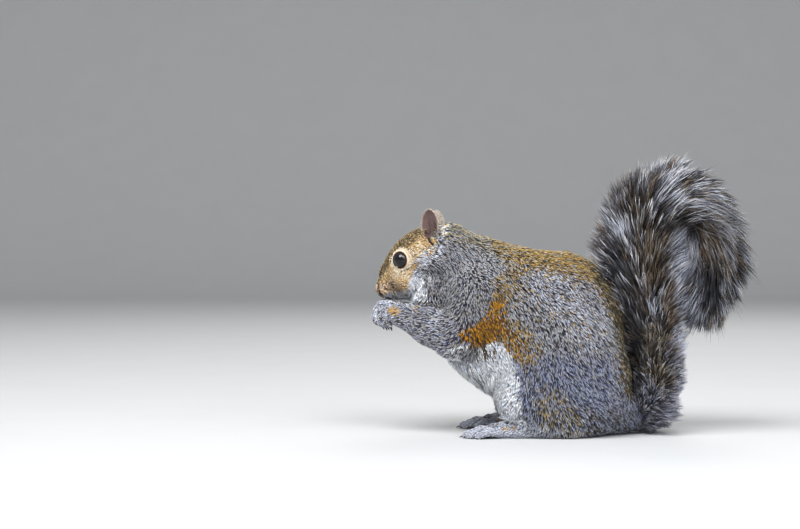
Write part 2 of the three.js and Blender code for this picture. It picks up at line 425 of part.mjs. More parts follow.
for (const [n, s] of SIDES) letIn('head', `ear_${n}`, (g) => ear(s, g));
for (const [n, s] of SIDES) {
  // Walk in from the side to the surface of the head, then sink the eyeball along the normal.
  let y = -26;
  while (headField(EYE.x, y, EYE.z) > 0) y += 0.05;
  const e = 0.2, grad = new THREE.Vector3(headField(EYE.x + e, y, EYE.z) - headField(EYE.x - e, y, EYE.z), headField(EYE.x, y + e, EYE.z) - headField(EYE.x, y - e, EYE.z), headField(EYE.x, y, EYE.z + e) - headField(EYE.x, y, EYE.z - e)).normalize();
  const c = new THREE.Vector3(EYE.x, y, EYE.z).addScaledVector(grad, -EYE.sink), [x, yy] = fromHead(c.x, c.y * s);
  letIn('head', `eye_${n}`, (g) => Manifold.sphere(EYE.radius + g, 16).translate([x, yy, c.z]));
}
for (const [n, s] of SIDES) {
  fingers.forEach((f) => joinTo(`forepaw_${n}`, claw([f[2][0] - 0.7, f[2][1], f[2][2] + 0.3], [0.55, 0.05, -0.83], CLAW.fore, 0, s)));
  toes.forEach((f, j) => joinTo(`hind_foot_${n}`, claw([f[2][0] + 2.2, f[2][1] - TOES[j][0] * 0.04, f[2][2] + 0.6], [-1, TOES[j][0] * 0.015, -0.14], CLAW.hind, 0, s)));
}

// ---- nodes --------------------------------------------------------------------
const COLOURS = { coat: 0x7f7c78, pale: 0xb9bcc4, face: 0xa98c5c, ear: 0x96786c, tail: 0x5c5650, eye: 0x0b0a0d, nose: 0x3b2c26 };
const dress = (n) => (n.startsWith('eye') ? ['eye', 0.1] : n === 'nose' ? ['nose', 0.5] : n.startsWith('ear') ? ['ear', 0.8]
  : n === 'head' ? ['face', 0.95] : n.startsWith('tail') ? ['tail', 0.95] : /paw|foot/.test(n) ? ['pale', 0.9] : ['coat', 0.95]);
const squirrel = new THREE.Group();
squirrel.name = 'grey_squirrel';
const order = ['head', 'nose', 'neck', 'trunk', 'tail_base', 'tail_middle', 'tail_tip', ...[...pieces.keys()].filter((k) => /_(left|right)/.test(k))];
for (const name of order) {
  const mesh = pieces.get(name).getMesh(), [colour, roughness] = dress(name);
  const pos = new Float32Array(mesh.numVert * 3);
  for (let i = 0; i < mesh.numVert; i++) for (let k = 0; k < 3; k++) pos[3 * i + k] = mesh.vertProperties[i * mesh.numProp + k];
  const geometry = new THREE.BufferGeometry();
  geometry.setAttribute('position', new THREE.BufferAttribute(pos, 3));
  geometry.setIndex(Array.from(mesh.triVerts));
  geometry.computeVertexNormals();
  const node = new THREE.Mesh(geometry, new THREE.MeshStandardMaterial({ color: COLOURS[colour], roughness, metalness: 0 }));
  node.name = name;
  squirrel.add(node);
}
const extent = new THREE.Box3().setFromObject(squirrel), middle = extent.getCenter(new THREE.Vector3());
squirrel.userData.shift = [-middle.x, -middle.y, -extent.min.z];
for (const node of squirrel.children) node.geometry.translate(...squirrel.userData.shift);

export default squirrel;
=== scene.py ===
# Grey squirrel, life size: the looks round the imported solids.
# One skin replaces the flesh, and the coat stands on it as solid tufts.
import math
import bpy
import bmesh
import numpy as np
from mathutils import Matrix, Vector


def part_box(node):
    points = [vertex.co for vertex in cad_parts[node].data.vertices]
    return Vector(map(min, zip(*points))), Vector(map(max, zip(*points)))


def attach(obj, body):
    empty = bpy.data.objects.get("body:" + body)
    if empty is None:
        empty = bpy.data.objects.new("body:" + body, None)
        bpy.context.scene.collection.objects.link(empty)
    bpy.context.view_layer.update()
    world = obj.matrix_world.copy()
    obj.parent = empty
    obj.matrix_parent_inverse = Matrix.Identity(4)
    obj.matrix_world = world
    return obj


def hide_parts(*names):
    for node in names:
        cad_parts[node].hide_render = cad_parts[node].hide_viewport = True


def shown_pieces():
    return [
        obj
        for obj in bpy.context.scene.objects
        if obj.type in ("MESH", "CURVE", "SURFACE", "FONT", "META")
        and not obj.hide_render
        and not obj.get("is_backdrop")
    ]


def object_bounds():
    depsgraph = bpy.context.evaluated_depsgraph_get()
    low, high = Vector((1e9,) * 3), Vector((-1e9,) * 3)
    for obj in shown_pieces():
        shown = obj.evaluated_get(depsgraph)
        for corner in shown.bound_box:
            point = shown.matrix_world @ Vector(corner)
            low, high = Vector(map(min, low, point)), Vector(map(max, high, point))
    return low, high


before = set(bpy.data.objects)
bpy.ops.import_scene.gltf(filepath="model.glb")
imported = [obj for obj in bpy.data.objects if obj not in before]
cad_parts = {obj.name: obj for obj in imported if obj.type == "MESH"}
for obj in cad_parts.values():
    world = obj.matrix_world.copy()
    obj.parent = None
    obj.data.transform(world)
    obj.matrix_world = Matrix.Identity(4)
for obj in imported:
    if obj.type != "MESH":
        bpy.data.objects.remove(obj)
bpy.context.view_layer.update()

import openvdb
from mathutils import Vector, kdtree

rng = np.random.default_rng(20)

# ---------------------------------------------------------------- dimensions
# Millimetres, as in the solids: -X is the nose's side, -Y the animal's left.
SHIFT = np.array([1.1688423156738281, -0.010686874389648438, 0.0])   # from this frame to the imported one
HEAD_YAW = math.radians(8)
NECK = (-68.2, 105.3)
HEAD_ROWS = [[-108.5, 84.8, 3.2, 3.2], [-104.4, 88.0, 7.0, 6.4], [-100.3, 92.4, 9.4, 9.6], [-94.3, 98.0, 12.0, 13.4],
             [-87.2, 103.4, 14.0, 16.4], [-78.6, 106.5, 15.1, 17.4], [-69.3, 105.8, 16.3, 17.6]]
TRUNK_ROWS = [[-69.3, 104.0, 17.8, 17.5], [-58.8, 96.2, 24.0, 21.5], [-45.9, 84.8, 32.8, 27], [-29.5, 70.8, 45.0, 32.5],
              [-10.7, 57.9, 49.7, 36.5], [-0.3, 42.7, 44.2, 37], [7.9, 31.0, 31.4, 32]]
TAIL_ROWS = [[44.2, 8.2, 9.4, 19], [52.9, 18.7, 15.8, 25], [55.9, 32.2, 18.1, 28], [54.7, 49.7, 19.3, 30], [50.6, 68.4, 19.9, 31],
             [46.0, 87.8, 22.8, 32], [42.0, 107.1, 25.8, 32], [47.1, 125.2, 25.2, 32], [58.8, 138.1, 22.8, 32], [73.4, 138.6, 19.9, 31],
             [85.7, 126.4, 19.9, 30], [89.9, 108.2, 21.0, 28], [88.8, 89.5, 18.4, 24], [84.8, 73.1, 13.0, 17], [81.6, 59.7, 5.0, 6]]
WHISKER_PAD = [-105.0, -3.2, 84.5, 5.8, 4.0, 4.2, -40]
CHEEK = [-91.6, -9.2, 90.1, 8.5, 6.5, 7.5, 0]
CHIN = [-100.3, 0, 81.6, 7.0, 4.4, 3.6, -20]
JAW = [-94.0, 0, 84.6, 9.5, 9.5, 6.2, 0]
CROWN = [-81.6, -7, 110.6, 9, 8, 7, 0]
EAR_ROOT = [-75.0, -12.6, 112.6, 5.4, 3.4, 6.0, 8]
BELLY = [-55.5, 0, 42.5, 17, 17, 8, 35]
CHEST = [-73.5, 0, 81.5, 18.5, 16.5, 17, 0]
RUMP = [27, 0, 12.6, 17, 20, 13.4, 0]
PALM = [-102.7, -5.4, 71.7, 8.0, 4.9, 6.2, 25]
KNUCKLES = [-107.9, -4.8, 69.6, 4.6, 4.6, 6.4, 15]
HAUNCH = [2.0, -20, 36.3, 33.4, 20, 39, -10]
UPPER_ARM = [[-50.0, -17, 79.0, 17], [-63.5, -21, 56.7, 12.2]]
FOREARM = [[-63.5, -21, 56.7, 12.2], [-78.7, -15.5, 62.7, 10.4], [-93.9, -8.6, 68.7, 7.2]]
SHANK = [[-25.2, -21, 20.6, 16.0], [-2.6, -24, 8.8, 11]]
FINGERS = []
for j in range(4):
    fx, fy = -107.6 + 1.58 * j, -2.6 - 1.9 * j
    FINGERS.append([[fx - 2.6, fy, 69.0, 2.1], [fx - 1.5, fy, 64.9, 1.75], [fx + 1.2, fy + 0.3, 63.1, 1.35]])
SOLE = [[0.9, -25, 5.6, 5.8], [-28.4, -26, 4.6, 4.9], [-42.4, -26, 4.0, 4.6]]
TOE_SIZES = [(-6.0, 9.5, 0), (-3.2, 14.6, 0.4), (0, 16.4, 0.6), (3.2, 14.8, 0.4), (6.2, 7.6, 0)]
TOES = [[[-39.4, -26 + o * 0.62, 3.6, 2.5], [-42.4 - l * 0.5, -26 + o * 0.92, 4 + up, 2.15], [-42.4 - l, -26 + o * 1.12, 1.8, 1.95]]
        for o, l, up in TOE_SIZES]
# The bone of the tail: x, z, radius of the flesh round it.
TAIL_BONE = [[22, 16, 12], [34, 11, 8.5], [45, 8.5, 6.6], [51.5, 18, 5.8], [53.6, 33, 5.4], [52.6, 50, 5.0], [49.0, 70, 4.6],
             [45.0, 92, 4.2], [43.6, 110, 3.9], [48.0, 126, 3.6], [58.5, 136.5, 3.3], [71.0, 137.5, 3.0], [81.5, 127.5, 2.7],
             [87.0, 110, 2.4], [87.6, 92, 2.1], [85.6, 78, 1.5]]
COAT_DEPTH = dict(head=1.25, trunk=3.9, thigh=3.7, arm=2.5, paw=0.45, foot=0.45)
EAR = dict(x=-77.3, y=-12.6, z=113.4, length=17.2, root=3.4, half=5.9, cup=3.4, thick=1.0, face=(-0.42, -0.9, 0.12), lean=(0.02, -0.16, 1))
EYE_R = 5.0

C8, S8 = math.cos(HEAD_YAW), math.sin(HEAD_YAW)


def to_head(x, y):
    X = x - NECK[0]
    return X * C8 - y * S8 + NECK[0], X * S8 + y * C8


def from_head(x, y):
    X = x - NECK[0]
    return X * C8 + y * S8 + NECK[0], -X * S8 + y * C8


def turn_from_head(v):
    """A direction in the head's frame as one in the body's."""
    v = np.asarray(v, float)
    return np.stack([v[..., 0] * C8 + v[..., 1] * S8, -v[..., 0] * S8 + v[..., 1] * C8, v[..., 2]], -1)


# ------------------------------------------------------------ the smooth flesh
def smin(a, b, k):
    h = np.maximum(k - np.abs(a - b), 0.0) / k
    return np.minimum(a, b) - h * h * k * 0.25


def smax(a, b, k):
    return -smin(-a, -b, k)


def step(a, b, x):
    t = np.clip((x - a) / (b - a), 0, 1)
    return t * t * (3 - 2 * t)


def catmull(rows, n):
    p = np.asarray(rows, float)
    q = np.vstack([2 * p[0] - p[1], p, 2 * p[-1] - p[-2]])
    t = np.linspace(0, len(p) - 1, n)
    i = np.minimum(t.astype(int), len(p) - 2)
    f = (t - i)[:, None]
    a, b, c, d = q[i], q[i + 1], q[i + 2], q[i + 3]
    return 0.5 * (2 * b + (c - a) * f + (2 * a - 5 * b + 4 * c - d) * f * f + (3 * b - a - 3 * c + d) * f ** 3)


class Sweep:
    """Elliptical sections along a curve in the plane y = 0."""

    def __init__(self, rows, segments):
        self.c = catmull(rows, segments + 1)

    def near(self, x, z):
        x, z = np.broadcast_arrays(x, z)
        best, T = np.full(x.shape, 1e9), np.zeros(x.shape)
        for i in range(len(self.c) - 1):
            ax, az = self.c[i, :2]
            bx, bz = self.c[i + 1, :2] - self.c[i, :2]
            t = np.clip(((x - ax) * bx + (z - az) * bz) / (bx * bx + bz * bz), 0, 1)
            d = (x - ax - t * bx) ** 2 + (z - az - t * bz) ** 2
            m = d < best
            best = np.where(m, d, best)
            T = np.where(m, i + t, T)
        return best, T

    def __call__(self, x, y, z, coat=0.0):
        best, T = self.near(x, z)
        i = np.minimum(T.astype(int), len(self.c) - 2)
        f = T - i
        h = np.maximum(self.c[i, 2] * (1 - f) + self.c[i + 1, 2] * f - coat, 0.6)
        w = np.maximum(self.c[i, 3] * (1 - f) + self.c[i + 1, 3] * f - coat, 0.6)
        y2 = y * y
        k0 = np.sqrt(best / h ** 2 + y2 / w ** 2) + 1e-9
        k1 = np.sqrt(best / h ** 4 + y2 / w ** 4) + 1e-12
        return k0 * (k0 - 1) / k1

    def place(self, x, y, z):
        """Share of the way along, tangent (x, z), and the cosine of the angle from the back's side."""
        _, T = self.near(x, z)
        i = np.minimum(T.astype(int), len(self.c) - 2)
        f = (T - i)[:, None]
        c = self.c[i] * (1 - f) + self.c[i + 1] * f
        t = self.c[np.minimum(i + 2, len(self.c) - 1), :2] - self.c[np.maximum(i - 1, 0), :2]
        t /= np.linalg.norm(t, axis=1)[:, None]
        off = (x - c[:, 0]) * -t[:, 1] + (z - c[:, 1]) * t[:, 0]
        a, b = off / c[:, 2], y / c[:, 3]
        return T / (len(self.c) - 1), t, a / np.maximum(np.hypot(a, b), 1e-6)


HEAD, TRUNK, TAIL = Sweep(HEAD_ROWS, 36), Sweep(TRUNK_ROWS, 44), Sweep(TAIL_ROWS, 80)


def ball(x, y, z, e, coat=0.0):
    t = math.radians(e[6])
    X, Y, Z = x - e[0], y - e[1], z - e[2]
    u, v = X * math.cos(t) - Z * math.sin(t), X * math.sin(t) + Z * math.cos(t)
    a, b, c = (max(r - coat, 0.5) for r in e[3:6])
    k0 = np.sqrt((u / a) ** 2 + (Y / b) ** 2 + (v / c) ** 2) + 1e-9
    k1 = np.sqrt((u / a ** 2) ** 2 + (Y / b ** 2) ** 2 + (v / c ** 2) ** 2) + 1e-12
    return k0 * (k0 - 1) / k1


def limb(x, y, z, joints, k, coat=0.0):
    d = None
    for (ax, ay, az, ra), (bx, by, bz, rb) in zip(joints[:-1], joints[1:]):
        ex, ey, ez = bx - ax, by - ay, bz - az
        t = np.clip(((x - ax) * ex + (y - ay) * ey + (z - az) * ez) / (ex * ex + ey * ey + ez * ez), 0, 1)
        e = np.sqrt((x - ax - t * ex) ** 2 + (y - ay - t * ey) ** 2 + (z - az - t * ez) ** 2) - (np.maximum(ra + t * (rb - ra) - coat, 0.5))
        d = e if d is None else smin(d, e, k)
    return d


def head_part(x, y, z, c):
    k = c * COAT_DEPTH["head"]
    X, Y = to_head(x, y)
    y = -np.abs(Y)
    d = HEAD(X, Y, z, k)
    d = smin(d, ball(X, y, z, WHISKER_PAD, k), 2.5)
    d = smin(d, ball(X, y, z, CHEEK, k), 5)
    d = smin(d, ball(X, y, z, CHIN, k), 3)
    d = smin(d, ball(X, y, z, JAW, k), 4)
    d = smin(d, ball(X, y, z, CROWN, k), 5)
    return smin(d, ball(X, y, z, EAR_ROOT, k), 3)


def arm_part(x, y, z, c):
    k = c * COAT_DEPTH["arm"]
    return smin(limb(x, y, z, UPPER_ARM, 4, k), limb(x, y, z, FOREARM, 4, k), 5)


def thigh_part(x, y, z, c):
    k = c * COAT_DEPTH["thigh"]
    return smin(ball(x, y, z, HAUNCH, k), limb(x, y, z, SHANK, 2, k), 8)


def paw_part(x, y, z, c):
    k = c * COAT_DEPTH["paw"]
    d = smin(ball(x, y, z, PALM, k), ball(x, y, z, KNUCKLES, k), 3)
    for f in FINGERS:
        d = smin(d, limb(x, y, z, f, 1, k), 0.9)
    return d


def foot_part(x, y, z, c):
    k = c * COAT_DEPTH["foot"]
    d = limb(x, y, z, SOLE, 3, k)
    for f in TOES:
        d = smin(d, limb(x, y, z, f, 1.5, k), 1.0)
    return d


def bone_part(x, y, z, c):
    return limb(x, y, z, [[a, 0, b, r] for a, b, r in TAIL_BONE], 3)


PARTS = [  # function, blend, box, mirrored, name
    (head_part, 7, ((-124, -28, 58), (-48, 28, 140)), False),
    (lambda x, y, z, c: ball(x, y, z, BELLY, c * COAT_DEPTH["trunk"]), 6, ((-76, -20, 28), (-36, 20, 60)), False),
    (lambda x, y, z, c: ball(x, y, z, CHEST, c * COAT_DEPTH["trunk"]), 6, ((-94, -19, 62), (-52, 19, 101)), False),
    (lambda x, y, z, c: ball(x, y, z, RUMP, c * 2.5), 7, ((5, -24, -4), (48, 24, 30)), False),
    (thigh_part, 9, ((-52, -50, -6), (50, 6, 100)), True),
    (arm_part, 7, ((-116, -44, 26), (-20, 6, 108)), True),
    (paw_part, 2, ((-122, -18, 54), (-88, 4, 88)), True),
    (foot_part, 2.5, ((-72, -44, -6), (12, -12, 16)), True),
]


def field(x, y, z, c, bone=True):
    """Signed distance, on grid axes (nx,1,1), (1,ny,1), (1,1,nz) or at points (n,)."""
    grid = x.ndim == 3
    shape = np.broadcast_shapes(x.shape, y.shape, z.shape)
    D = np.array(np.broadcast_to(TRUNK(x, y, z, c * COAT_DEPTH["trunk"]), shape))

    def put(fn, k, lo, hi, mirror):
        m, sg = k + 3, 1
        if mirror:
            lo, hi, sg = (lo[0], -hi[1], lo[2]), (hi[0], -lo[1], hi[2]), -1
        if grid:
            cut = [slice(*np.searchsorted(v.ravel(), (a - m, b + m))) for v, a, b in zip((x, y, z), lo, hi)]
            e = fn(x[cut[0]], sg * y[:, cut[1]], z[:, :, cut[2]], c)
            D[cut[0], cut[1], cut[2]] = smin(D[cut[0], cut[1], cut[2]], e, k)
        else:
            i = np.nonzero((x > lo[0] - m) & (x < hi[0] + m) & (y > lo[1] - m) & (y < hi[1] + m) & (z > lo[2] - m) & (z < hi[2] + m))[0]
            if len(i):
                D[i] = smin(D[i], fn(x[i], sg * y[i], z[i], c), k)

    for fn, k, (lo, hi), both in PARTS:
        put(fn, k, lo, hi, False)
        if both:
            put(fn, k, lo, hi, True)
    if bone:
        put(bone_part, 8, (10, -16, -4), (92, 16, 142), False)
    return smax(D, 0.35 - z, 1.2) if c else np.maximum(D, -z)


def slope(P, c, bone=True, e=0.12, fn=None):
    """Gradient at points (n,3), with the value."""
    fn = fn or (lambda Q: field(Q[:, 0], Q[:, 1], Q[:, 2], c, bone))
    k = np.array([[1, -1, -1], [-1, -1, 1], [-1, 1, -1], [1, 1, 1]], float)
    v = np.stack([fn(P + e * d) for d in k])
    return (v[:, :, None] * k[:, None, :]).sum(0) / (4 * e), v.mean(0)


def unit(v):
    return v / np.maximum(np.linalg.norm(v, axis=-1, keepdims=True), 1e-9)


def settle(P, c, rounds=2, fn=None):
    for _ in range(rounds):
        g, v = slope(P, c, fn=fn)
        q = np.maximum((g * g).sum(1), 0.05)
        P = P - g * np.clip(v / q, -0.8, 0.8)[:, None]
    return P


# ------------------------------------------------------------ colours
def srgb(*c):
    c = np.asarray(c, float) / 255
    return np.where(c <= 0.04045, c / 12.92, ((c + 0.055) / 1.055) ** 2.4)


# Kinds of hair: share, then the colours of its root, middle and tip.
HAIRS = {
    "grey": [(0.56, (72, 71, 79), (110, 111, 123), (251, 252, 255)), (0.27, (36, 34, 41), (47, 46, 54), (84, 84, 96)),
             (0.17, (76, 72, 70), (126, 119, 113), (224, 217, 205))],
    "brown": [(0.50, (70, 57, 32), (138, 108, 52), (222, 186, 112)), (0.30, (36, 30, 20), (60, 47, 28), (108, 86, 48)),
              (0.20, (64, 58, 52), (104, 97, 88), (226, 219, 205))],
    "rust": [(0.66, (100, 66, 8), (182, 122, 12), (224, 164, 38)), (0.34, (48, 32, 8), (106, 72, 12), (160, 112, 24))],
    # slate: the grey coat made darker and bluer, partly its own colour and partly painted shade on the lower body
    "slate": [(0.56, (64, 67, 92), (99, 105, 138), (226, 233, 255)), (0.30, (32, 33, 48), (48, 51, 72), (82, 87, 112)),
              (0.16, (60, 60, 70), (100, 102, 118), (192, 195, 210))],
    # painted shade: dark olive-brown hair laid where the rump's edge and the lower thigh lie in shade
    "painted_shade": [(0.44, (38, 32, 22), (62, 53, 34), (98, 84, 56)), (0.36, (24, 21, 17), (36, 32, 26), (62, 56, 44)),
             (0.20, (52, 48, 42), (92, 84, 70), (178, 168, 148))],
    "crown": [(0.42, (64, 51, 31), (112, 90, 52), (206, 174, 118)), (0.38, (30, 25, 19), (44, 36, 27), (76, 63, 46)),
              (0.20, (84, 70, 50), (156, 130, 88), (230, 206, 160))],
    "frost": [(0.8, (136, 138, 148), (196, 198, 208), (244, 246, 250)), (0.2, (92, 92, 102), (140, 142, 154), (196, 198, 208))],
    "white": [(0.88, (198, 201, 210), (228, 231, 238), (244, 246, 250)), (0.12, (158, 161, 172), (194, 197, 207), (226, 228, 235))],
    "face": [(0.64, (132, 98, 60), (206, 166, 108), (242, 212, 156)), (0.18, (92, 68, 42), (148, 114, 72), (198, 160, 108)),
             (0.18, (140, 120, 98), (216, 194, 160), (244, 230, 204))],
    "olive": [(0.44, (62, 58, 50), (108, 101, 82), (230, 222, 200)), (0.32, (44, 42, 38), (60, 57, 50), (108, 102, 88)),
              (0.24, (72, 62, 48), (144, 124, 86), (222, 198, 148))],
    "cream": [(1.0, (180, 156, 124), (230, 210, 178), (248, 236, 214))],
    "ring": [(1.0, (196, 172, 140), (238, 218, 188), (250, 238, 218))],
    "pale": [(0.70, (110, 112, 124), (168, 171, 187), (240, 242, 250)), (0.30, (66, 66, 77), (98, 100, 114), (152, 156, 172))],
    "paw": [(0.64, (124, 126, 138), (192, 195, 207), (242, 245, 251)), (0.36, (64, 66, 78), (102, 104, 118), (158, 161, 176))],
    "foot": [(0.76, (128, 130, 143), (186, 189, 202), (236, 240, 247)), (0.24, (92, 93, 106), (142, 144, 158), (194, 197, 210))],
    "gold": [(0.8, (134, 104, 62), (190, 150, 90), (220, 188, 132)), (0.2, (120, 112, 104), (170, 162, 152), (214, 208, 202))],
    "umber": [(1.0, (44, 34, 28), (76, 58, 44), (114, 92, 72))],
    "pad": [(0.66, (152, 124, 98), (222, 190, 154), (246, 224, 194)), (0.22, (136, 108, 90), (194, 154, 130), (226, 190, 162)),
            (0.12, (48, 36, 30), (72, 54, 44), (114, 90, 72))],
}
KINDS = list(HAIRS)
MEAN = np.array([sum(s * (0.15 * srgb(*r) + 0.45 * srgb(*m) + 0.4 * srgb(*t)) for s, r, m, t in HAIRS[k]) for k in KINDS])
PX = 0.585


def uv_of(x, z):
    return x / PX + 564.5, 435 - z / PX


def stroke(u, v, a, b, r, soft):
    """1 inside a stroke of radius r from a to b, 0 beyond r + soft."""
    ex, ey = b[0] - a[0], b[1] - a[1]
    t = np.clip(((u - a[0]) * ex + (v - a[1]) * ey) / max(ex * ex + ey * ey, 1e-9), 0, 1)
    d = np.hypot(u - a[0] - t * ex, v - a[1] - t * ey)
    return 1 - step(r, r + soft, d)


WAVES = [(unit(rng.normal(size=3)), rng.uniform(0, 6.28)) for _ in range(18)]


def cloud(P, size, salt=0):
    """Smooth noise between about -1 and 1 with features of this size in mm."""
    v = 0
    for i in range(6):
        k, ph = WAVES[(i * 5 + salt * 7) % 18]
        v = v + np.sin(P @ k * (6.283 / size) * (0.7 + 0.13 * i) + ph * (1 + salt))
    return v / 3.2


EYES = {}
for side in ("left", "right"):
    lo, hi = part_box("eye_" + side)
    EYES[side] = np.array((lo + hi) / 2) * 1000 - SHIFT


def parts_at(P):
    """Distances to the parts, for weights: head, trunk, thigh, arm, paw, foot."""
    x, y, z = P[:, 0], -np.abs(P[:, 1]), P[:, 2]
    body = np.minimum(TRUNK(x, y, z), np.minimum(ball(x, y, z, BELLY), ball(x, y, z, CHEST)))
    return np.stack([head_part(x, P[:, 1], z, 0), body, thigh_part(x, y, z, 0), arm_part(x, y, z, 0), paw_part(x, y, z, 0), foot_part(x, y, z, 0)], 1)


def marks(P, near):
    """Shares of the kinds of hair at points on the flesh: (n, kinds)."""
    n = len(P)
    x, y, z = P.T
    X, Y = to_head(x, y)
    isheadish = near[:, 0] < near[:, 1] + 4
    xs = np.where(isheadish & (x < -62), from_head(X, -np.abs(Y))[0], x)
    u, v = uv_of(xs, z)
    u0, v0 = u, v
    wob = 2.2 * cloud(P, 9, 1) + 1.2 * cloud(P, 4, 2)
    u, v = u + wob, v + 1.6 * cloud(P, 7, 3)
    ht, _, hcos = HEAD.place(X, Y, z)
    tt, _, tcos = TRUNK.place(x, y, z)
    low = near.min(1)
    part = np.exp(-(near - low[:, None]) / 2.5)
    part /= part.sum(1)[:, None]
    head, trunk, thigh, arm, paw, foot = part.T
    W = np.zeros((n, len(KINDS)))
    W[:, 0] = 1

    def lay(kind, m):
        m = np.clip(m, 0, 1)
        W[:] = W * (1 - m)[:, None]
        W[:, KINDS.index(kind)] += m

    body = 1 - np.clip(paw + foot, 0, 1)
    wide = step(9, 14, np.abs(y))
    # back, nape and rump
    edge0 = np.interp(tt, [0, 0.3, 0.55, 0.8, 1], [0.30, 0.55, 0.58, 0.80, 0.88])
    edge1 = np.interp(tt, [0, 0.3, 0.55, 0.8, 1], [0.85, 0.88, 0.90, 0.97, 0.99])
    back = step(0, 1, (tcos - edge0) / (edge1 - edge0)) * (trunk + 0.8 * thigh) * body
    saddle = stroke(u, v, (508, 250), (575, 258), 9, 12) * (trunk + thigh)
    lay("olive", back * step(0.46, 0.26, tt) * 0.85)
    lay("brown", back * step(0.28, 0.46, tt) * 0.95)
    lay("brown", 0.75 * saddle)
    lay("brown", 0.45 * stroke(u, v, (512, 266), (590, 272), 6, 10) * (trunk + thigh))
    lay("brown", stroke(u, v, (598, 275), (618, 318), 5, 8) * 0.75 * (trunk + thigh))
    lay("brown", stroke(u, v, (618, 318), (625, 388), 4, 7) * 0.80 * (trunk + thigh))
    # thigh and flank tints, with painted shade on the lower thigh and along the rump's edge by the tail
    # the lower flank and thigh: their grey coat with painted shade, darker and bluer than the grey above
    lay("slate", 0.76 * stroke(u, v, (528, 378), (590, 380), 14, 22) * body)
    lay("slate", 0.75 * stroke(u, v, (540, 410), (625, 418), 14, 18) * body)
    # painted shade along the bottom of the thigh
    lay("painted_shade", 0.30 * stroke(u, v, (545, 418), (620, 422), 9, 10) * body)
    lay("olive", 0.50 * stroke(u, v, (548, 402), (562, 428), 9, 14) * thigh)
    lay("brown", 0.12 * stroke(u, v, (548, 402), (562, 428), 9, 14) * thigh)
    lay("brown", 0.22 * stroke(u, v, (550, 300), (578, 322), 10, 18) * body)
    lay("brown", 0.30 * stroke(u, v, (512, 292), (505, 300), 8, 12) * body)
    lay("pale", 0.40 * stroke(u, v, (545, 290), (585, 330), 9, 18) * body)
    # painted shade on the rump's edge beside the tail
    lay("painted_shade", 0.90 * stroke(u, v, (601, 276), (621, 325), 3, 13) * (trunk + thigh))
    lay("painted_shade", 0.95 * stroke(u, v, (622, 325), (630, 388), 4, 15) * (trunk + thigh))
    # rust behind the arm, up to the back and down to the belly's edge
    flank = wide * (1 - np.clip(paw + foot + head, 0, 1))
    lay("brown", 0.60 * stroke(u, v, (496, 306), (506, 284), 6, 9) * flank)
    lay("brown", 0.60 * stroke(u, v, (505, 332), (524, 352), 9, 10) * flank)
    lay("rust", 0.34 * stroke(u, v, (500, 334), (517, 353), 4, 8) * flank)
    lay("rust", 0.70 * stroke(u, v, (491, 324), (496, 310), 4, 7) * flank)
    lay("rust", 0.90 * stroke(u, v, (462, 337), (482, 331), 2.5, 5) * flank)
    lay("rust", 0.92 * stroke(u, v, (480, 331), (495, 326), 5.5, 6) * flank)
    lay("rust", 0.92 * stroke(u, v, (476, 339), (484, 335), 6.5, 5) * flank)
    lay("umber", 0.30 * stroke(u, v, (470, 333), (495, 330), 9, 4) * flank)
    # belly
    right = np.interp(v, [338, 350, 362, 395, 428, 440], [490, 505, 512, 513, 522, 528])
    top = np.interp(u, [430, 446, 458, 470, 485, 500], [352, 352, 349, 347, 344, 341])
    lay("white", step(4, -3, u - right) * step(-1, 4, v - top) * (1 - np.clip(1.2 * arm + paw + foot, 0, 1)))
    under = step(-0.45, -0.75, tcos) * (trunk + 0.6 * thigh) * step(1.0, 0.9, tt) * step(14, 8, np.abs(y))
    lay("white", under * body * np.where(x < -20, 1, 0.6))
    inner = arm * step(16, 11, np.abs(y)) * step(-60, -68, x)
    lay("pale", inner * 0.5)
    # arm
    lay("slate", arm * stroke(u, v, (410, 318), (452, 342), 8, 14) * 0.22)
    lay("pale", arm * stroke(u, v, (404, 332), (440, 352), 1.5, 4) * 0.45)
    lay("white", 0.7 * arm * stroke(u, v, (444, 353), (464, 347), 1.5, 3))
    lay("white", 0.85 * stroke(u, v, (450, 361), (472, 369), 3, 4) * body * step(2.5, 5, np.abs(y)))
    # painted shade in the fold between the arm and the belly
    lay("umber", 0.45 * stroke(u, v, (455, 351.5), (471, 346), 0.6, 1.8) * body * step(4, 7, np.abs(y)))
    # painted shade: dark lines between the belly's loose locks
    lay("umber", 0.88 * stroke(u0, v0, (482, 343), (485, 358), 1.0, 2.2) * wide)
    lay("umber", 0.60 * stroke(u0, v0, (473, 350), (477, 362), 0.5, 1.8) * wide)
    lay("umber", 0.55 * stroke(u0, v0, (493, 347), (492, 362), 0.5, 1.8) * wide)
    lay("gold", 0.35 * stroke(u, v, (413, 307), (417, 308), 1.5, 4) * (arm + head + trunk))
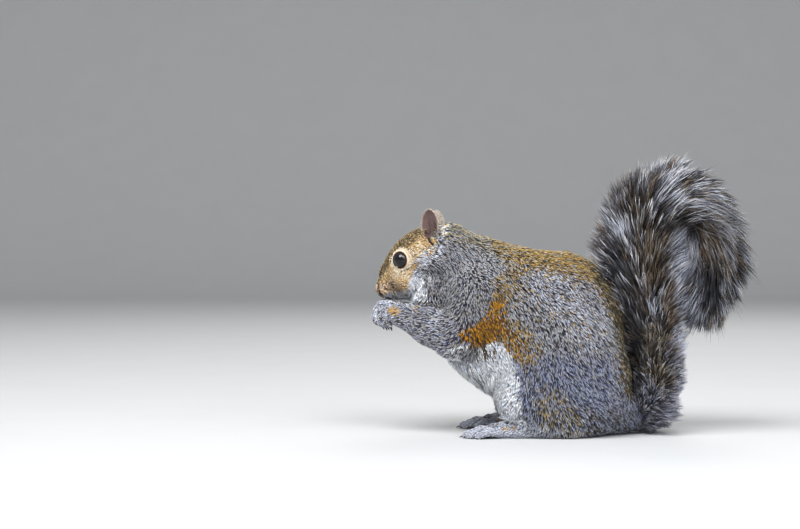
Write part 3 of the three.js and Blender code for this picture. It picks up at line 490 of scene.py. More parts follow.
    # head
    top_of_head = step(0.45, 0.86, hcos)
    lay("olive", head * step(0.15, 0.7, hcos) * 0.8)
    cheek = np.maximum(stroke(u, v, (387, 284), (404, 264), 13, 5), stroke(u, v, (404, 261), (422, 249), 12, 6))
    cheek = np.maximum(cheek, 0.9 * stroke(u, v, (400, 288), (409, 290), 7, 4))
    lay("face", head * cheek * (1 - 0.85 * top_of_head))
    lay("crown", 0.92 * head * step(0.30, 0.70, hcos) * step(-74, -80, X))
    lay("frost", 0.72 * (head + trunk) * stroke(u, v, (436, 252), (424, 264), 3.5, 5) * step(8, 11, np.abs(Y)) * (1 - top_of_head))
    lay("frost", 0.85 * (head + trunk) * stroke(u, v, (424, 264), (416, 280), 3.5, 4) * step(8, 11, np.abs(Y)) * (1 - top_of_head))
    lay("cream", 0.80 * head * stroke(u, v, (398, 277), (405, 281), 5, 6))
    lay("cream", 0.62 * head * stroke(u, v, (414, 256), (421, 251), 4, 6))
    jowl = (head + trunk) * step(5, 7, np.abs(Y))
    lay("face", 0.9 * jowl * stroke(u, v, (400, 286), (406, 291), 5.5, 3.5))
    lay("white", 0.85 * (head + trunk) * stroke(u, v, (417, 287), (417.5, 300), 6.3, 3.2) * step(8, 11, np.abs(Y)))
    lay("white", head * step(-0.45, -0.8, hcos) * step(385, 392, u) * step(12, 9, np.abs(Y)))
    lay("white", trunk * step(-0.3, -0.7, tcos) * step(452, 436, u) * step(12, 8, np.abs(y)) * step(245, 265, v))
    lay("white", 0.9 * (head + trunk) * stroke(u, v, (389, 298.5), (412, 299.5), 1.6, 2.0) * step(0.25, -0.05, hcos))
    lay("pad", head * stroke(u, v, (383, 290.5), (394, 290), 5.6, 2.6))
    lay("white", 0.85 * (head + trunk) * stroke(u, v, (391.5, 297.6), (411, 297.4), 2.2, 2.0))
    # painted shade: dark hair along the slit of the mouth
    mouth = np.maximum(0.5 * stroke(u0, v0, (394.5, 298.6), (399.5, 300.6), 0.3, 0.8), stroke(u0, v0, (399.5, 300.6), (407.5, 296.8), 0.3, 0.9))
    lay("umber", 0.85 * (head + trunk) * mouth * step(4, 7, np.abs(Y)))
    for a, b in (((386.5, 284.5), (394.0, 286.0)), ((386.0, 287.5), (395.0, 289.2)), ((387.0, 290.6), (394.5, 292.2))):
        dash = 0.5 + 0.5 * np.sign(np.sin((u0 - a[0]) * 2.6))
        lay("umber", 0.9 * head * dash * stroke(u0, v0, a, b, 0.35, 0.5))
    lay("cream", 0.5 * (head + trunk) * stroke(u, v, (443, 224), (444, 236), 1.5, 4) * step(6, 9, np.abs(Y)))
    lay("frost", 0.42 * (head + trunk) * stroke(u, v, (443, 228), (441, 244), 1.0, 5) * step(6, 9, np.abs(Y)))
    lay("face", 0.7 * head * stroke(u, v, (425, 240), (432, 250), 4, 4) * (1 - top_of_head))
    # painted shade in the line between the throat and the forearm
    lay("umber", 0.3 * (head + trunk + arm) * stroke(u, v, (420, 304.5), (430, 304), 0.5, 1.2) * step(8, 11, np.abs(y)))
    for side in EYES:
        d = np.linalg.norm(P - EYES[side] - [0.55, 0, -0.45], axis=1)
        lay("ring", step(8.4, 7.5, d + 0.35 * cloud(P, 3, 4)))
    lay("umber", 0.55 * head * np.maximum(stroke(u0, v0, (401.5, 273.4), (408.5, 271.2), 0.5, 1.3), stroke(u0, v0, (408.5, 271.2), (414.2, 265.0), 0.4, 1.3)))
    # paws and feet
    lay("paw", paw)
    # painted shade: dark hair in the gaps between the fingers
    gaps = np.sort(np.stack([limb(x, -np.abs(y), z, f, 1) for f in FINGERS]), 0)
    lay("umber", 0.40 * paw * step(0.6, 0.15, gaps[1] - gaps[0]) * step(66.5, 65.0, z))
    outer = paw * step(3.5, 6, np.abs(y))
    # painted highlights: whiter hair where light falls on the paw's left side, along its top and on a finger
    lay("white", 0.50 * paw * stroke(u0, v0, (374.0, 312), (376.5, 320), 1.6, 2.4))
    lay("white", 0.40 * paw * stroke(u0, v0, (381, 302.6), (390, 302.4), 1.0, 1.6))
    lay("white", 0.55 * outer * stroke(u0, v0, (377.5, 322.0), (381.0, 326.0), 0.8, 1.2))
    # painted shade in the hollow under the curled fingers and along the fold above the knuckles
    lay("umber", 0.80 * outer * stroke(u0, v0, (380.0, 320.2), (384.0, 318.8), 0.5, 0.9))
    lay("umber", 0.60 * outer * stroke(u0, v0, (387.0, 324.0), (391.5, 325.0), 1.2, 1.6))
    lay("umber", 0.50 * outer * stroke(u0, v0, (384.5, 321.5), (387.0, 327.5), 0.4, 0.8))
    lay("umber", 0.40 * outer * stroke(u0, v0, (378.0, 307.0), (385.5, 305.0), 0.3, 0.9))
    lay("gold", 0.95 * stroke(u0, v0, (391.2, 312.2), (395.5, 311.8), 2.8, 2.6) * (paw + arm) * step(4, 6.5, np.abs(y)))
    lay("foot", foot)
    # painted shade: dark hair in the clefts between the toes
    clefts = np.sort(np.stack([limb(x, -np.abs(y), z, f, 1.5) for f in TOES]), 0)
    lay("umber", 0.72 * foot * step(1.1, 0.3, clefts[1] - clefts[0]) * step(-40, -43, x))
    lay("gold", 0.5 * stroke(u, v, (501, 427), (509, 425), 1.2, 2.5) * (foot + thigh) * step(3, 5.5, z))
    return W


def flow(P, N, near):
    """Lie of the coat: a unit direction along the flesh at each point."""
    x, y, z = P.T
    X, Y = to_head(x, y)
    ht, htan, hcos = HEAD.place(X, Y, z)
    tt, ttan, tcos = TRUNK.place(x, y, z)
    low = near.min(1)
    part = np.exp(-(near - low[:, None]) / 4.0)
    part /= part.sum(1)[:, None]
    side = np.sign(y) + (y == 0)
    o = np.zeros_like(x)
    flank = np.abs(N[:, 1])
    d = np.zeros_like(P)
    hd = np.stack([htan[:, 0], 0.12 * np.sign(Y), htan[:, 1] - 0.25 * np.clip(-hcos, 0, 1) - 0.15], 1)
    fall = (step(-90, -84, X) * step(99, 90, z))[:, None]
    hd = hd * (1 - fall) + fall * np.array([0.22, 0, -1.0])
    d += part[:, 0:1] * turn_from_head(hd)
    fall = (step(-60, -70, x) * step(104, 94, z) * step(3, 8, np.abs(y)))[:, None]
    td = np.stack([ttan[:, 0] * 0.85, 0.1 * side, ttan[:, 1] * 0.85 - 0.55 * flank], 1)
    d += part[:, 1:2] * (td * (1 - fall) + fall * np.array([0.15, 0, -1.0]))
    knee = step(6, -26, x)
    d += part[:, 2:3] * np.stack([0.80 - 1.0 * knee, 0.06 * side, -0.85 - 0.15 * knee], 1)
    elbow = step(-54, -73, x)[:, None]
    up = np.stack([0.35 + o, 0.05 * side, -1 + o], 1)
    fore = np.stack([-0.92 + o, -0.3 * side, 0.12 + o], 1)
    d += part[:, 3:4] * (up * (1 - elbow) + fore * elbow + 4 * elbow * (1 - elbow) * np.array([-0.45, 0, -0.35]))
    d += part[:, 4:5] * np.stack([-0.75 + o, o, -0.6 + o], 1)
    d += part[:, 5:6] * np.stack([-1 + o, o, -0.15 + o], 1)
    # round the eyes the hair leaves the lids
    for c in EYES.values():
        r = P - c
        w = 1.6 * step(9.0, 6.0, np.linalg.norm(r, axis=1))[:, None]
        d += w * unit(r)
    # whorls and small locks
    a = 0.17 * cloud(P, 16, 0) + 0.08 * cloud(P, 6, 2)
    d = d - (d * N).sum(1)[:, None] * N
    d = unit(d)
    s = np.cross(N, d)
    return unit(d * np.cos(a)[:, None] + s * np.sin(a)[:, None])


# ------------------------------------------------------------ meshes and materials
def to_m(P):
    return (np.asarray(P, float) + SHIFT) / 1000


def new_mesh(name, V, F, material, smooth=True):
    """V in mm in this script's frame; F (n,3), (n,4), or a list of both."""
    groups = F if isinstance(F, list) else [F]
    groups = [np.asarray(f, np.int32) for f in groups if len(f)]
    me = bpy.data.meshes.new(name)
    V = to_m(V).astype(np.float32)
    me.vertices.add(len(V))
    me.vertices.foreach_set("co", V.ravel())
    loops = np.concatenate([f.ravel() for f in groups])
    sizes = np.concatenate([np.full(len(f), f.shape[1], np.int32) for f in groups])
    me.loops.add(len(loops))
    me.loops.foreach_set("vertex_index", loops)
    me.polygons.add(len(sizes))
    me.polygons.foreach_set("loop_start", np.concatenate([[0], np.cumsum(sizes)[:-1]]).astype(np.int32))
    me.polygons.foreach_set("loop_total", sizes)
    me.polygons.foreach_set("use_smooth", np.full(len(sizes), smooth, bool))
    me.update(calc_edges=True)
    ob = bpy.data.objects.new(name, me)
    bpy.context.scene.collection.objects.link(ob)
    me.materials.append(material)
    return ob


def paint(ob, rgb, name="tint"):
    a = ob.data.color_attributes.new(name=name, type="FLOAT_COLOR", domain="POINT")
    v = np.ones((len(ob.data.vertices), 4), np.float32)
    v[:, :3] = rgb
    a.data.foreach_set("color", v.ravel())


def node_material(name, rough, bump=None, sheen=0.0, coat=0.0, spec=0.5, variation=0.12, noise_mm=2.0, tint=None, rough_noise=0.08):
    m = bpy.data.materials.new(name)
    m.use_nodes = True
    nt = m.node_tree
    p = nt.nodes["Principled BSDF"]
    p.inputs["Roughness"].default_value = rough
    p.inputs["Specular IOR Level"].default_value = spec
    p.inputs["Sheen Weight"].default_value = sheen
    p.inputs["Sheen Roughness"].default_value = 0.45
    p.inputs["Coat Weight"].default_value = coat
    p.inputs["Coat Roughness"].default_value = 0.04
    tc = nt.nodes.new("ShaderNodeTexCoord")
    nz = nt.nodes.new("ShaderNodeTexNoise")
    nz.inputs["Scale"].default_value = 1000.0 / noise_mm
    nz.inputs["Detail"].default_value = 3
    nt.links.new(tc.outputs["Object"], nz.inputs["Vector"])
    rp = nt.nodes.new("ShaderNodeMapRange")
    rp.inputs["From Min"].default_value, rp.inputs["From Max"].default_value = 0.3, 0.7
    rp.inputs["To Min"].default_value, rp.inputs["To Max"].default_value = 1 - variation, 1 + variation
    nt.links.new(nz.outputs["Fac"], rp.inputs["Value"])
    mx = nt.nodes.new("ShaderNodeMix")
    mx.data_type, mx.blend_type = "RGBA", "MULTIPLY"
    mx.inputs["Factor"].default_value = 1
    if tint is None:
        at = nt.nodes.new("ShaderNodeAttribute")
        at.attribute_name = "tint"
        nt.links.new(at.outputs["Color"], mx.inputs[6])
    else:
        mx.inputs[6].default_value = (*tint, 1)
    nt.links.new(rp.outputs["Result"], mx.inputs[7])
    nt.links.new(mx.outputs[2], p.inputs["Base Color"])
    if rough_noise:
        rr = nt.nodes.new("ShaderNodeMapRange")
        rr.inputs["From Min"].default_value, rr.inputs["From Max"].default_value = 0.3, 0.7
        rr.inputs["To Min"].default_value, rr.inputs["To Max"].default_value = rough - rough_noise, min(rough + rough_noise, 1)
        nt.links.new(nz.outputs["Fac"], rr.inputs["Value"])
        nt.links.new(rr.outputs["Result"], p.inputs["Roughness"])
    if bump:
        nb = nt.nodes.new("ShaderNodeTexNoise")
        nb.inputs["Scale"].default_value = 1000.0 / bump[0]
        nb.inputs["Detail"].default_value = 4
        nt.links.new(tc.outputs["Object"], nb.inputs["Vector"])
        bp = nt.nodes.new("ShaderNodeBump")
        bp.inputs["Strength"].default_value = 0.6
        bp.inputs["Distance"].default_value = bump[1] / 1000
        nt.links.new(nb.outputs["Fac"], bp.inputs["Height"])
        nt.links.new(bp.outputs["Normal"], p.inputs["Normal"])
    return m


SKIN = node_material("skin_underfur", 0.85, bump=(0.5, 0.25), sheen=0.2, spec=0.25, variation=0.25, noise_mm=0.8)
FUR = node_material("coat_fur", 0.62, spec=0.28, sheen=0.05, variation=0.10, noise_mm=1.2, rough_noise=0)
TAIL_FUR = node_material("tail_hair", 0.52, spec=0.36, sheen=0.08, variation=0.10, noise_mm=1.5, rough_noise=0)
HORN = node_material("claw_horn", 0.32, bump=(0.25, 0.05), spec=0.5, variation=0.3, noise_mm=0.7)
EYE_MAT = node_material("eye_gloss", 0.03, coat=0.0, spec=0.42, variation=0.15, noise_mm=0.6, rough_noise=0)
WHISKER_MAT = node_material("whisker", 0.35, spec=0.5, variation=0.1, noise_mm=2, rough_noise=0)


# ------------------------------------------------------------ the skin
def groove_points(line, side):
    """Places on the side of the muzzle for points (u, v) of its profile, in this frame."""
    out = []
    for u, v in line:
        x0, z0 = (u - 564.5) * PX, (435 - v) * PX
        X0, _ = to_head(np.array([x0]), np.array([-5.0]))
        ys = np.linspace(-24, 0, 97)
        d = head_part(*from_head(np.full(97, X0[0]), ys), np.full(97, z0), 1)
        i = int(np.argmax(d < 0)) if (d < 0).any() else 96
        hx, hy = from_head(X0[0], ys[i])
        if side > 0:
            hx, hy = from_head(X0[0], -ys[i])
        out.append([hx, hy, z0])
    return np.array(out)


NOSTRIL = [(377.8, 287.0), (377.2, 290.0), (377.9, 293.2), (379.8, 296.4)]
MOUTH = [(381.5, 297.6), (386.0, 299.5), (391.0, 300.6), (396.5, 301.5), (401.0, 302.6)]
NOTCH = [(430.0, 235.0), (430.4, 240.0), (432.0, 244.0), (434.5, 246.5)]
GROOVES = []
for sd in (-1, 1):
    a = groove_points(NOSTRIL, sd)
    b = groove_points(MOUTH, sd)
    GROOVES.append((a, [0.3, 0.36, 0.42, 0.7]))
    GROOVES.append((b, [0.4, 0.3, 0.25, 0.25, 0.25]))
    GROOVES.append((groove_points(NOTCH, sd), [0.9, 0.5, 0.35, 0.4]))


def grooved(P):
    return ((P[:, 0] < -94) & (P[:, 2] > 76) & (P[:, 2] < 98)) | ((P[:, 0] > -86) & (P[:, 0] < -70) & (P[:, 2] > 104) & (P[:, 2] < 122))


def cleft(P):
    """Distance to the creases between the curled fingers, less their half width; positive away from the paws."""
    x, y, z = P[:, 0], -np.abs(P[:, 1]), P[:, 2]
    d = np.full(len(P), 9.0)
    for j in range(3):
        mx, my = -107.6 + 1.58 * (j + 0.5), -2.6 - 1.9 * (j + 0.5)
        d = np.minimum(d, np.abs(1.58 * (x - mx) - 1.9 * (y - my)) / 2.47)
    window = step(61.0, 62.5, z) * step(75.0 + 0.25 * (x + 108), 71.5 + 0.25 * (x + 108), z) * step(-100.5, -102.5, x)
    return d - 0.50 * window + 0.6 * (1 - window)


CONCHA = [-78.3, -15.0, 118.4, 2.7, 5.6, 3.9, 0]


def concha(P):
    X, Y = to_head(P[:, 0], P[:, 1])
    return ball(X, -np.abs(Y), P[:, 2], CONCHA)


def groove_distance(P):
    """Distance to the nostril, mouth and ear lines and the hollow of the ear, less their radius."""
    d = concha(P)
    for pts, r in GROOVES:
        j = [[*p, q] for p, q in zip(pts, r)]
        d = np.minimum(d, limb(P[:, 0], P[:, 1], P[:, 2], j, 0.3))
    return d


def skin_at(P):
    d = field(P[:, 0], P[:, 1], P[:, 2], 1.0)
    i = np.nonzero(grooved(P))[0]
    if len(i):
        d[i] = smax(d[i], -groove_distance(P[i]), 0.35)
    i = np.nonzero((P[:, 0] < -100) & (P[:, 2] < 77) & (P[:, 2] > 60) & (d > -2.5) & (d < 2.5))[0]
    if len(i):
        # as deep as 0.9 mm under the skin, narrowing on the way down
        d[i] = smax(d[i], -(cleft(P[i]) - 0.55 * np.minimum(d[i], 0)), 0.25)
    return d


def make_skin():
    h = 1.0
    lo, hi = np.array([-119.0, -48, -4]), np.array([100.0, 48, 150])
    ax = [np.arange(lo[i], hi[i], h) for i in range(3)]
    D = field(ax[0][:, None, None], ax[1][None, :, None], ax[2][None, None, :], 1.0)
    g = openvdb.FloatGrid(float(3 * h))
    g.copyFromArray(np.clip(D, -3 * h, 3 * h).astype(np.float32))
    V, Q = g.convertToQuads(0.0)
    V = V.astype(float) * h + lo
    bm = bmesh.new()
    vs = [bm.verts.new(p) for p in V]
    for q in Q:
        try:
            bm.faces.new([vs[i] for i in q])
        except ValueError:
            pass
    eyes = list(EYES.values())

    def finer(test):
        bm.verts.ensure_lookup_table()
        P = np.array([v.co for v in bm.verts])
        bm.verts.index_update()
        ok = test(P)
        edges = [e for e in bm.edges if ok[e.verts[0].index] and ok[e.verts[1].index]]
        bmesh.ops.subdivide_edges(bm, edges=edges, cuts=1, use_grid_fill=True)

    def head_zone(P):
        return ((P[:, 0] < -64) & (P[:, 2] > 76 + 0.5 * np.maximum(P[:, 0] + 92, 0))) | (P[:, 0] < -92) | ((P[:, 0] < -30) & (P[:, 2] < 14))

    def fine_zone(P):
        m = (P[:, 0] < -95) & (P[:, 2] > 78)
        for c in eyes:
            m |= np.linalg.norm(P - c, axis=1) < 9
        return m | ((P[:, 0] > -86) & (P[:, 0] < -72) & (P[:, 2] > 106) & (P[:, 2] < 121) & (np.abs(P[:, 1]) > 6))

    finer(head_zone)
    finer(fine_zone)
    bmesh.ops.triangulate(bm, faces=bm.faces[:])
    bm.verts.index_update()
    V = np.array([v.co for v in bm.verts])
    F = np.array([[v.index for v in f.verts] for f in bm.faces], np.int32)
    bm.free()
    E = np.concatenate([F[:, [0, 1]], F[:, [1, 2]], F[:, [2, 0]]])
    E = np.unique(np.sort(E, 1), axis=0)
    deg = np.bincount(E.ravel(), minlength=len(V)).astype(float)[:, None]
    V = settle(V, 1.0, 1, skin_at)
    for _ in range(2):
        s = np.zeros_like(V)
        for k in range(3):
            s[:, k] = np.bincount(E[:, 0], V[E[:, 1], k], len(V)) + np.bincount(E[:, 1], V[E[:, 0], k], len(V))
        V = V + 0.55 * (s / deg - V)
        V = settle(V, 1.0, 1, skin_at)
    # facing out
    a, b, c = V[F[:, 0]], V[F[:, 1]], V[F[:, 2]]
    if (a * np.cross(b, c)).sum() < 0:
        F = F[:, ::-1].copy()
    return V, F


def ear_shell(side, rows=26, cols=18):
    """A thin cupped blade with a rolled rim: its points, faces, and how far each point is from the rim (0) to the middle (1)."""
    U = unit(np.array(EAR["lean"], float))
    Fc = np.array(EAR["face"], float)
    Fc = unit(Fc - U * (Fc @ U))
    Wd = np.cross(U, Fc)
    rise = 0.42
    base = np.array([EAR["x"], EAR["y"], EAR["z"]])
    r0 = -EAR["root"] / EAR["length"]
    front, back, info = [], [], []
    for r in range(rows + 1):
        f = r / rows
        t = r0 + (1 - r0) * (f / 0.5) * 0.62 if f < 0.5 else r0 + (1 - r0) * (0.62 + 0.38 * math.sin(math.pi / 2 * (f - 0.5) / 0.5) ** 0.9)
        t = min(t, 0.9985)
        w = math.sqrt(max(1 - max((t - rise) / (1 - rise), 0) ** 2, 0)) if t > rise else 1 - 0.34 * ((rise - t) / rise) ** 1.5
        w = max(w, 0.06)
        cup = EAR["cup"] * (1 - 0.75 * (t - rise) / (1 - rise) if t > rise else 1)
        for k in range(cols + 1):
            s = math.sin(math.pi / 2 * (2 * k / cols - 1))
            mid = base + U * EAR["length"] * t + Wd * EAR["half"] * w * s
            bend = -cup * (1 - s * s)
            edge = min((1 - abs(s)) * w * EAR["half"], (1 - t) * EAR["length"])      # mm in from the rim
            roll = 0.55 * math.exp(-(edge / 1.1) ** 2)
            fold = 0.45 * math.exp(-((s - 0.25 + 0.5 * t) / 0.16) ** 2) * step(0.05, 0.35, t) * step(0.85, 0.6, t)
            thick = EAR["thick"] * (0.42 + 0.58 * min(edge / 1.6, 1))
            front.append(mid + Fc * (bend + roll + fold))
            back.append(mid + Fc * (bend + roll * 0.6 - thick))
            info.append((t, s, edge))
    V = np.array(front + back)
    n, c = len(front), cols + 1
    Fs = []
    for r in range(rows):
        for k in range(cols):
            a = r * c + k
            Fs.append((a, a + 1, a + 1 + c, a + c))
            Fs.append((n + a, n + a + c, n + a + 1 + c, n + a + 1))
    for r in range(rows):
        a, b = r * c, r * c + cols
        Fs.append((a, a + c, n + a + c, n + a))
        Fs.append((b, n + b, n + b + c, b + c))
    for k in range(cols):
        a, b = k, rows * c + k
        Fs.append((a, n + a, n + a + 1, a + 1))
        Fs.append((b, b + 1, n + b + 1, n + b))
    V[:, 1] *= side if side > 0 else 1
    if side > 0:
        V[:, 1] = -np.abs(V[:, 1]) * -1
    hx, hy = from_head(V[:, 0], V[:, 1])
    V = np.stack([hx, hy, V[:, 2]], 1)
    Fs = np.array(Fs, np.int32)
    vol = 0
    for tri in (Fs[:, :3], Fs[:, [0, 2, 3]]):
        vol += (V[tri[:, 0]] * np.cross(V[tri[:, 1]], V[tri[:, 2]])).sum()
    if vol < 0:
        Fs = Fs[:, ::-1].copy()
    return V, Fs, np.array(info), n


def eye_frame(side):
    c = EYES[side]
    g, _ = slope(c[None] + 0.0, 0.0, fn=lambda Q: head_part(Q[:, 0], Q[:, 1], Q[:, 2], 0))
    n = unit(g[0])
    up = np.array([0.0, 0, 1])
    up = unit(up - n * (up @ n))
    fwd = np.array([-1.0, 0, 0])
    fwd = unit(fwd - n * (fwd @ n) - up * (fwd @ up))
    return c, n, fwd, up


def opening(phi):
    """Half size of the eye's opening, mm, at the angle phi from the nose's side towards the top."""
    a, b = 4.2, 4.3
    r = a * b / np.hypot(b * np.cos(phi), a * np.sin(phi))
    corner = np.angle(np.exp(1j * (phi + math.radians(57))))
    return np.minimum(r + 0.55 * np.exp(-(corner / 0.26) ** 2), 4.93)


def lids(side, seg=72):
    c, n, fwd, up = eye_frame(side)
    phi = np.arange(seg) / seg * 2 * math.pi
    th = np.arcsin(opening(phi) / EYE_R)
    e = np.cos(phi)[:, None] * fwd + np.sin(phi)[:, None] * up
    prof = [(-4, 4.86), (0, 5.08), (1.5, 5.3), (4.5, 5.5), (9, 5.66), (15, 5.72), (23, 5.6), (34, 5.2)]
    rings = []
    for dt, R in prof:
        a = (th + math.radians(dt))[:, None]
        rings.append(c + R * (np.cos(a) * n + np.sin(a) * e))
    V = np.concatenate(rings)
    F = []
    for r in range(len(prof) - 1):
        i = np.arange(seg)
        j = (i + 1) % seg
        F.append(np.stack([r * seg + i, r * seg + j, (r + 1) * seg + j, (r + 1) * seg + i], 1))
    F = np.concatenate(F)
    q = V[F]
    nn = np.cross(q[:, 1] - q[:, 0], q[:, 3] - q[:, 0])
    if (nn * (q.mean(1) - c)).sum() < 0:
        F = F[:, ::-1].copy()
    k = np.repeat(np.arange(len(prof)), seg)
    return V, F, k


def eyeball(side, seg=64, rings=40):
    c, n, fwd, up = eye_frame(side)
    V, col = [c + n * (EYE_R + 0.12)], [srgb(3, 3, 5)]
    for r in range(1, rings):
        th = math.pi * r / rings
        R = EYE_R + 0.12 * math.exp(-(th / 0.6) ** 2)      # the cornea stands a little proud
        for k in range(seg):
            a = 2 * math.pi * k / seg
            V.append(c + R * (math.cos(th) * n + math.sin(th) * (math.cos(a) * fwd + math.sin(a) * up)))
            deg = math.degrees(th)
            pup, iris = srgb(3, 3, 5), srgb(30, 18, 12) * (1 + 0.25 * math.sin(a * 31) + 0.15 * math.sin(a * 53 + 1))
            m = step(34.0, 38.0, deg)
            k2 = step(56.0, 61.0, deg)
            col.append((pup * (1 - m) + iris * m) * (1 - k2) + srgb(20, 14, 12) * k2)
    V.append(c - n * EYE_R)
    col.append(srgb(20, 14, 12))
    F = []
    last = len(V) - 1
    tri = [(0, 1 + k, 1 + (k + 1) % seg) for k in range(seg)]
    for r in range(rings - 2):
        for k in range(seg):
            a, b = 1 + r * seg + k, 1 + r * seg + (k + 1) % seg
            F.append((a, a + seg, b + seg, b))
    tri += [(last, last - seg + (k + 1) % seg, last - seg + k) for k in range(seg)]
    V = np.array(V)
    tri, F = np.array(tri), np.array(F)
    q = V[F]
    if (np.cross(q[:, 1] - q[:, 0], q[:, 3] - q[:, 0]) * (q.mean(1) - c)).sum() < 0:
        F = F[:, ::-1].copy()
    q = V[tri]
    if (np.cross(q[:, 1] - q[:, 0], q[:, 2] - q[:, 0]) * (q.mean(1) - c)).sum() < 0:
        tri = tri[:, ::-1].copy()
    return V, [F, tri], np.array(col)


V, F = make_skin()
NEAR = parts_at(V)
W = marks(V, NEAR)
SKIN_RGB = (W @ MEAN) * (0.62 + 0.30 * (W[:, KINDS.index("white")] + W[:, KINDS.index("ring")]))[:, None]
bone_d = bone_part(V[:, 0], V[:, 1], V[:, 2], 1) if len(V) else 0
on_bone = step(1.0, 0.2, bone_d) * step(38, 46, V[:, 0])
low = step(24, 13, V[:, 2])[:, None]
SKIN_RGB = SKIN_RGB * (1 - on_bone)[:, None] + (srgb(70, 50, 34) * (1 - low) + srgb(84, 83, 90) * low) * on_bone[:, None]
gd = np.full(len(V), 9.0)
i = np.nonzero(grooved(V))[0]
gd[i] = groove_distance(V[i])
GROOVE_AT = gd
# painted shade: the skin is darkened inside the nostril, mouth and ear grooves and the ear's hollow
dark = step(0.55, 0.05, gd)[:, None]
SKIN_RGB = SKIN_RGB * (1 - dark) + srgb(34, 22, 18) * dark
# painted shade in the creases between the curled fingers
crease = (step(0.25, -0.25, cleft(V)) * (V[:, 0] < -100) * (V[:, 2] < 77) * (V[:, 2] > 60))[:, None]
SKIN_RGB = SKIN_RGB * (1 - 0.75 * crease) + srgb(52, 44, 44) * 0.75 * crease
# painted shade in the hollow of the ear
shell = (step(1.0, 0.3, concha(V)) * grooved(V))[:, None]
SKIN_RGB = SKIN_RGB * (1 - shell) + srgb(66, 48, 44) * shell
FLESH_V, FLESH_F = V, F
allV, allF, allC = [V], [F], [SKIN_RGB]
count = len(V)
quads = []
EAR_DATA = {}
for side, sg in (("left", -1), ("right", 1)):
    ev, ef, info, nf = ear_shell(sg)
    EAR_DATA[side] = (ev, ef, info, nf)
    t, s, edge = info.T
    # painted shade: the inside darkens towards the ear's root, in its hollow and along its fold
    inside = srgb(116, 94, 90) * (1 - 0.25 * step(0.6, 0.1, t))[:, None]
    deep = np.maximum(np.exp(-((s + 0.30) / 0.16) ** 2) * step(0.95, 0.6, t) * 0.55, np.exp(-((s - 0.45 + 0.3 * t) / 0.22) ** 2) * step(0.8, 0.45, t))
    deep = np.maximum(deep, step(0.20, 0.04, t))[:, None]
    inside = inside * (1 - 0.72 * deep) + srgb(46, 30, 27) * 0.72 * deep
    rim = step(0.75, 0.2, edge)[:, None]
    inside = inside * (1 - rim) + srgb(176, 158, 146) * rim
    outer = srgb(150, 134, 120) * np.ones((nf, 1)) * (1 - rim) + srgb(176, 158, 146) * rim
    allV.append(ev)
    quads.append(ef + count)
    allC.append(np.concatenate([inside, outer]))
    count += len(ev)
for side in EYES:
    lv, lf, k = lids(side)
    ramp = np.array([srgb(18, 12, 10)] * 3 + [srgb(44, 30, 24), srgb(200, 178, 150), srgb(226, 208, 182), srgb(222, 204, 178), srgb(206, 180, 146)])
    allV.append(lv)
    quads.append(lf + count)
    allC.append(ramp[k])
    count += len(lv)
skin = new_mesh("skin", np.concatenate(allV), [F] + quads, SKIN)
paint(skin, np.concatenate(allC))
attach(skin, "root")
FLESH = [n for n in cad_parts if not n.startswith("eye_")]
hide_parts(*FLESH)

for side in EYES:
    ev, ef, ec = eyeball(side)
    eye = new_mesh("eyeball_" + side, ev, ef, EYE_MAT)
    paint(eye, ec)
    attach(eye, "root")
    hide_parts("eye_" + side)


# ------------------------------------------------------------ claws and whiskers
def tube(points, radii, around=8, flat=1.0):
    """A closed tapering tube along points, ending in a point."""
    P = np.asarray(points, float)
    T = unit(np.gradient(P, axis=0))
    ref = np.array([0.0, 1.0, 0.0]) if abs(T[0][1]) < 0.9 else np.array([1.0, 0, 0])
    V, F = [], []
    for p, t, r in zip(P, T, radii):
        a = unit(np.cross(t, ref))
        b = np.cross(t, a)
        for k in range(around):
            w = 2 * math.pi * k / around
            V.append(p + r * (math.cos(w) * a + flat * math.sin(w) * b))
    n = len(P)
    for i in range(n - 1):
        for k in range(around):
            A, B = i * around + k, i * around + (k + 1) % around
            F.append((A, B, B + around, A + around))
    V.append(P[0])
    V.append(P[-1] + T[-1] * radii[-1])
    tri = [(len(V) - 2, (k + 1) % around, k) for k in range(around)]
    tri += [(len(V) - 1, (n - 1) * around + k, (n - 1) * around + (k + 1) % around) for k in range(around)]
    V, F, tri = np.array(V), np.array(F), np.array(tri)
    vol = 0
    for f in (F[:, :3], F[:, [0, 2, 3]], tri):
        vol += (V[f[:, 0]] - P[0]).ravel() @ np.cross(V[f[:, 1]] - P[0], V[f[:, 2]] - P[0]).ravel()
    if vol < 0:
        F, tri = F[:, ::-1].copy(), tri[:, ::-1].copy()
    return V, F, tri


def joined(name, parts, material, colours):
    V, Q, T, n, C = [], [], [], 0, []
    for (v, q, t), c in zip(parts, colours):
        V.append(v)
        Q.append(q + n)
        T.append(t + n)
        C.append(c)
        n += len(v)
    ob = new_mesh(name, np.concatenate(V), [np.concatenate(Q), np.concatenate(T)], material)
    paint(ob, np.concatenate(C))
    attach(ob, "root")
    return ob


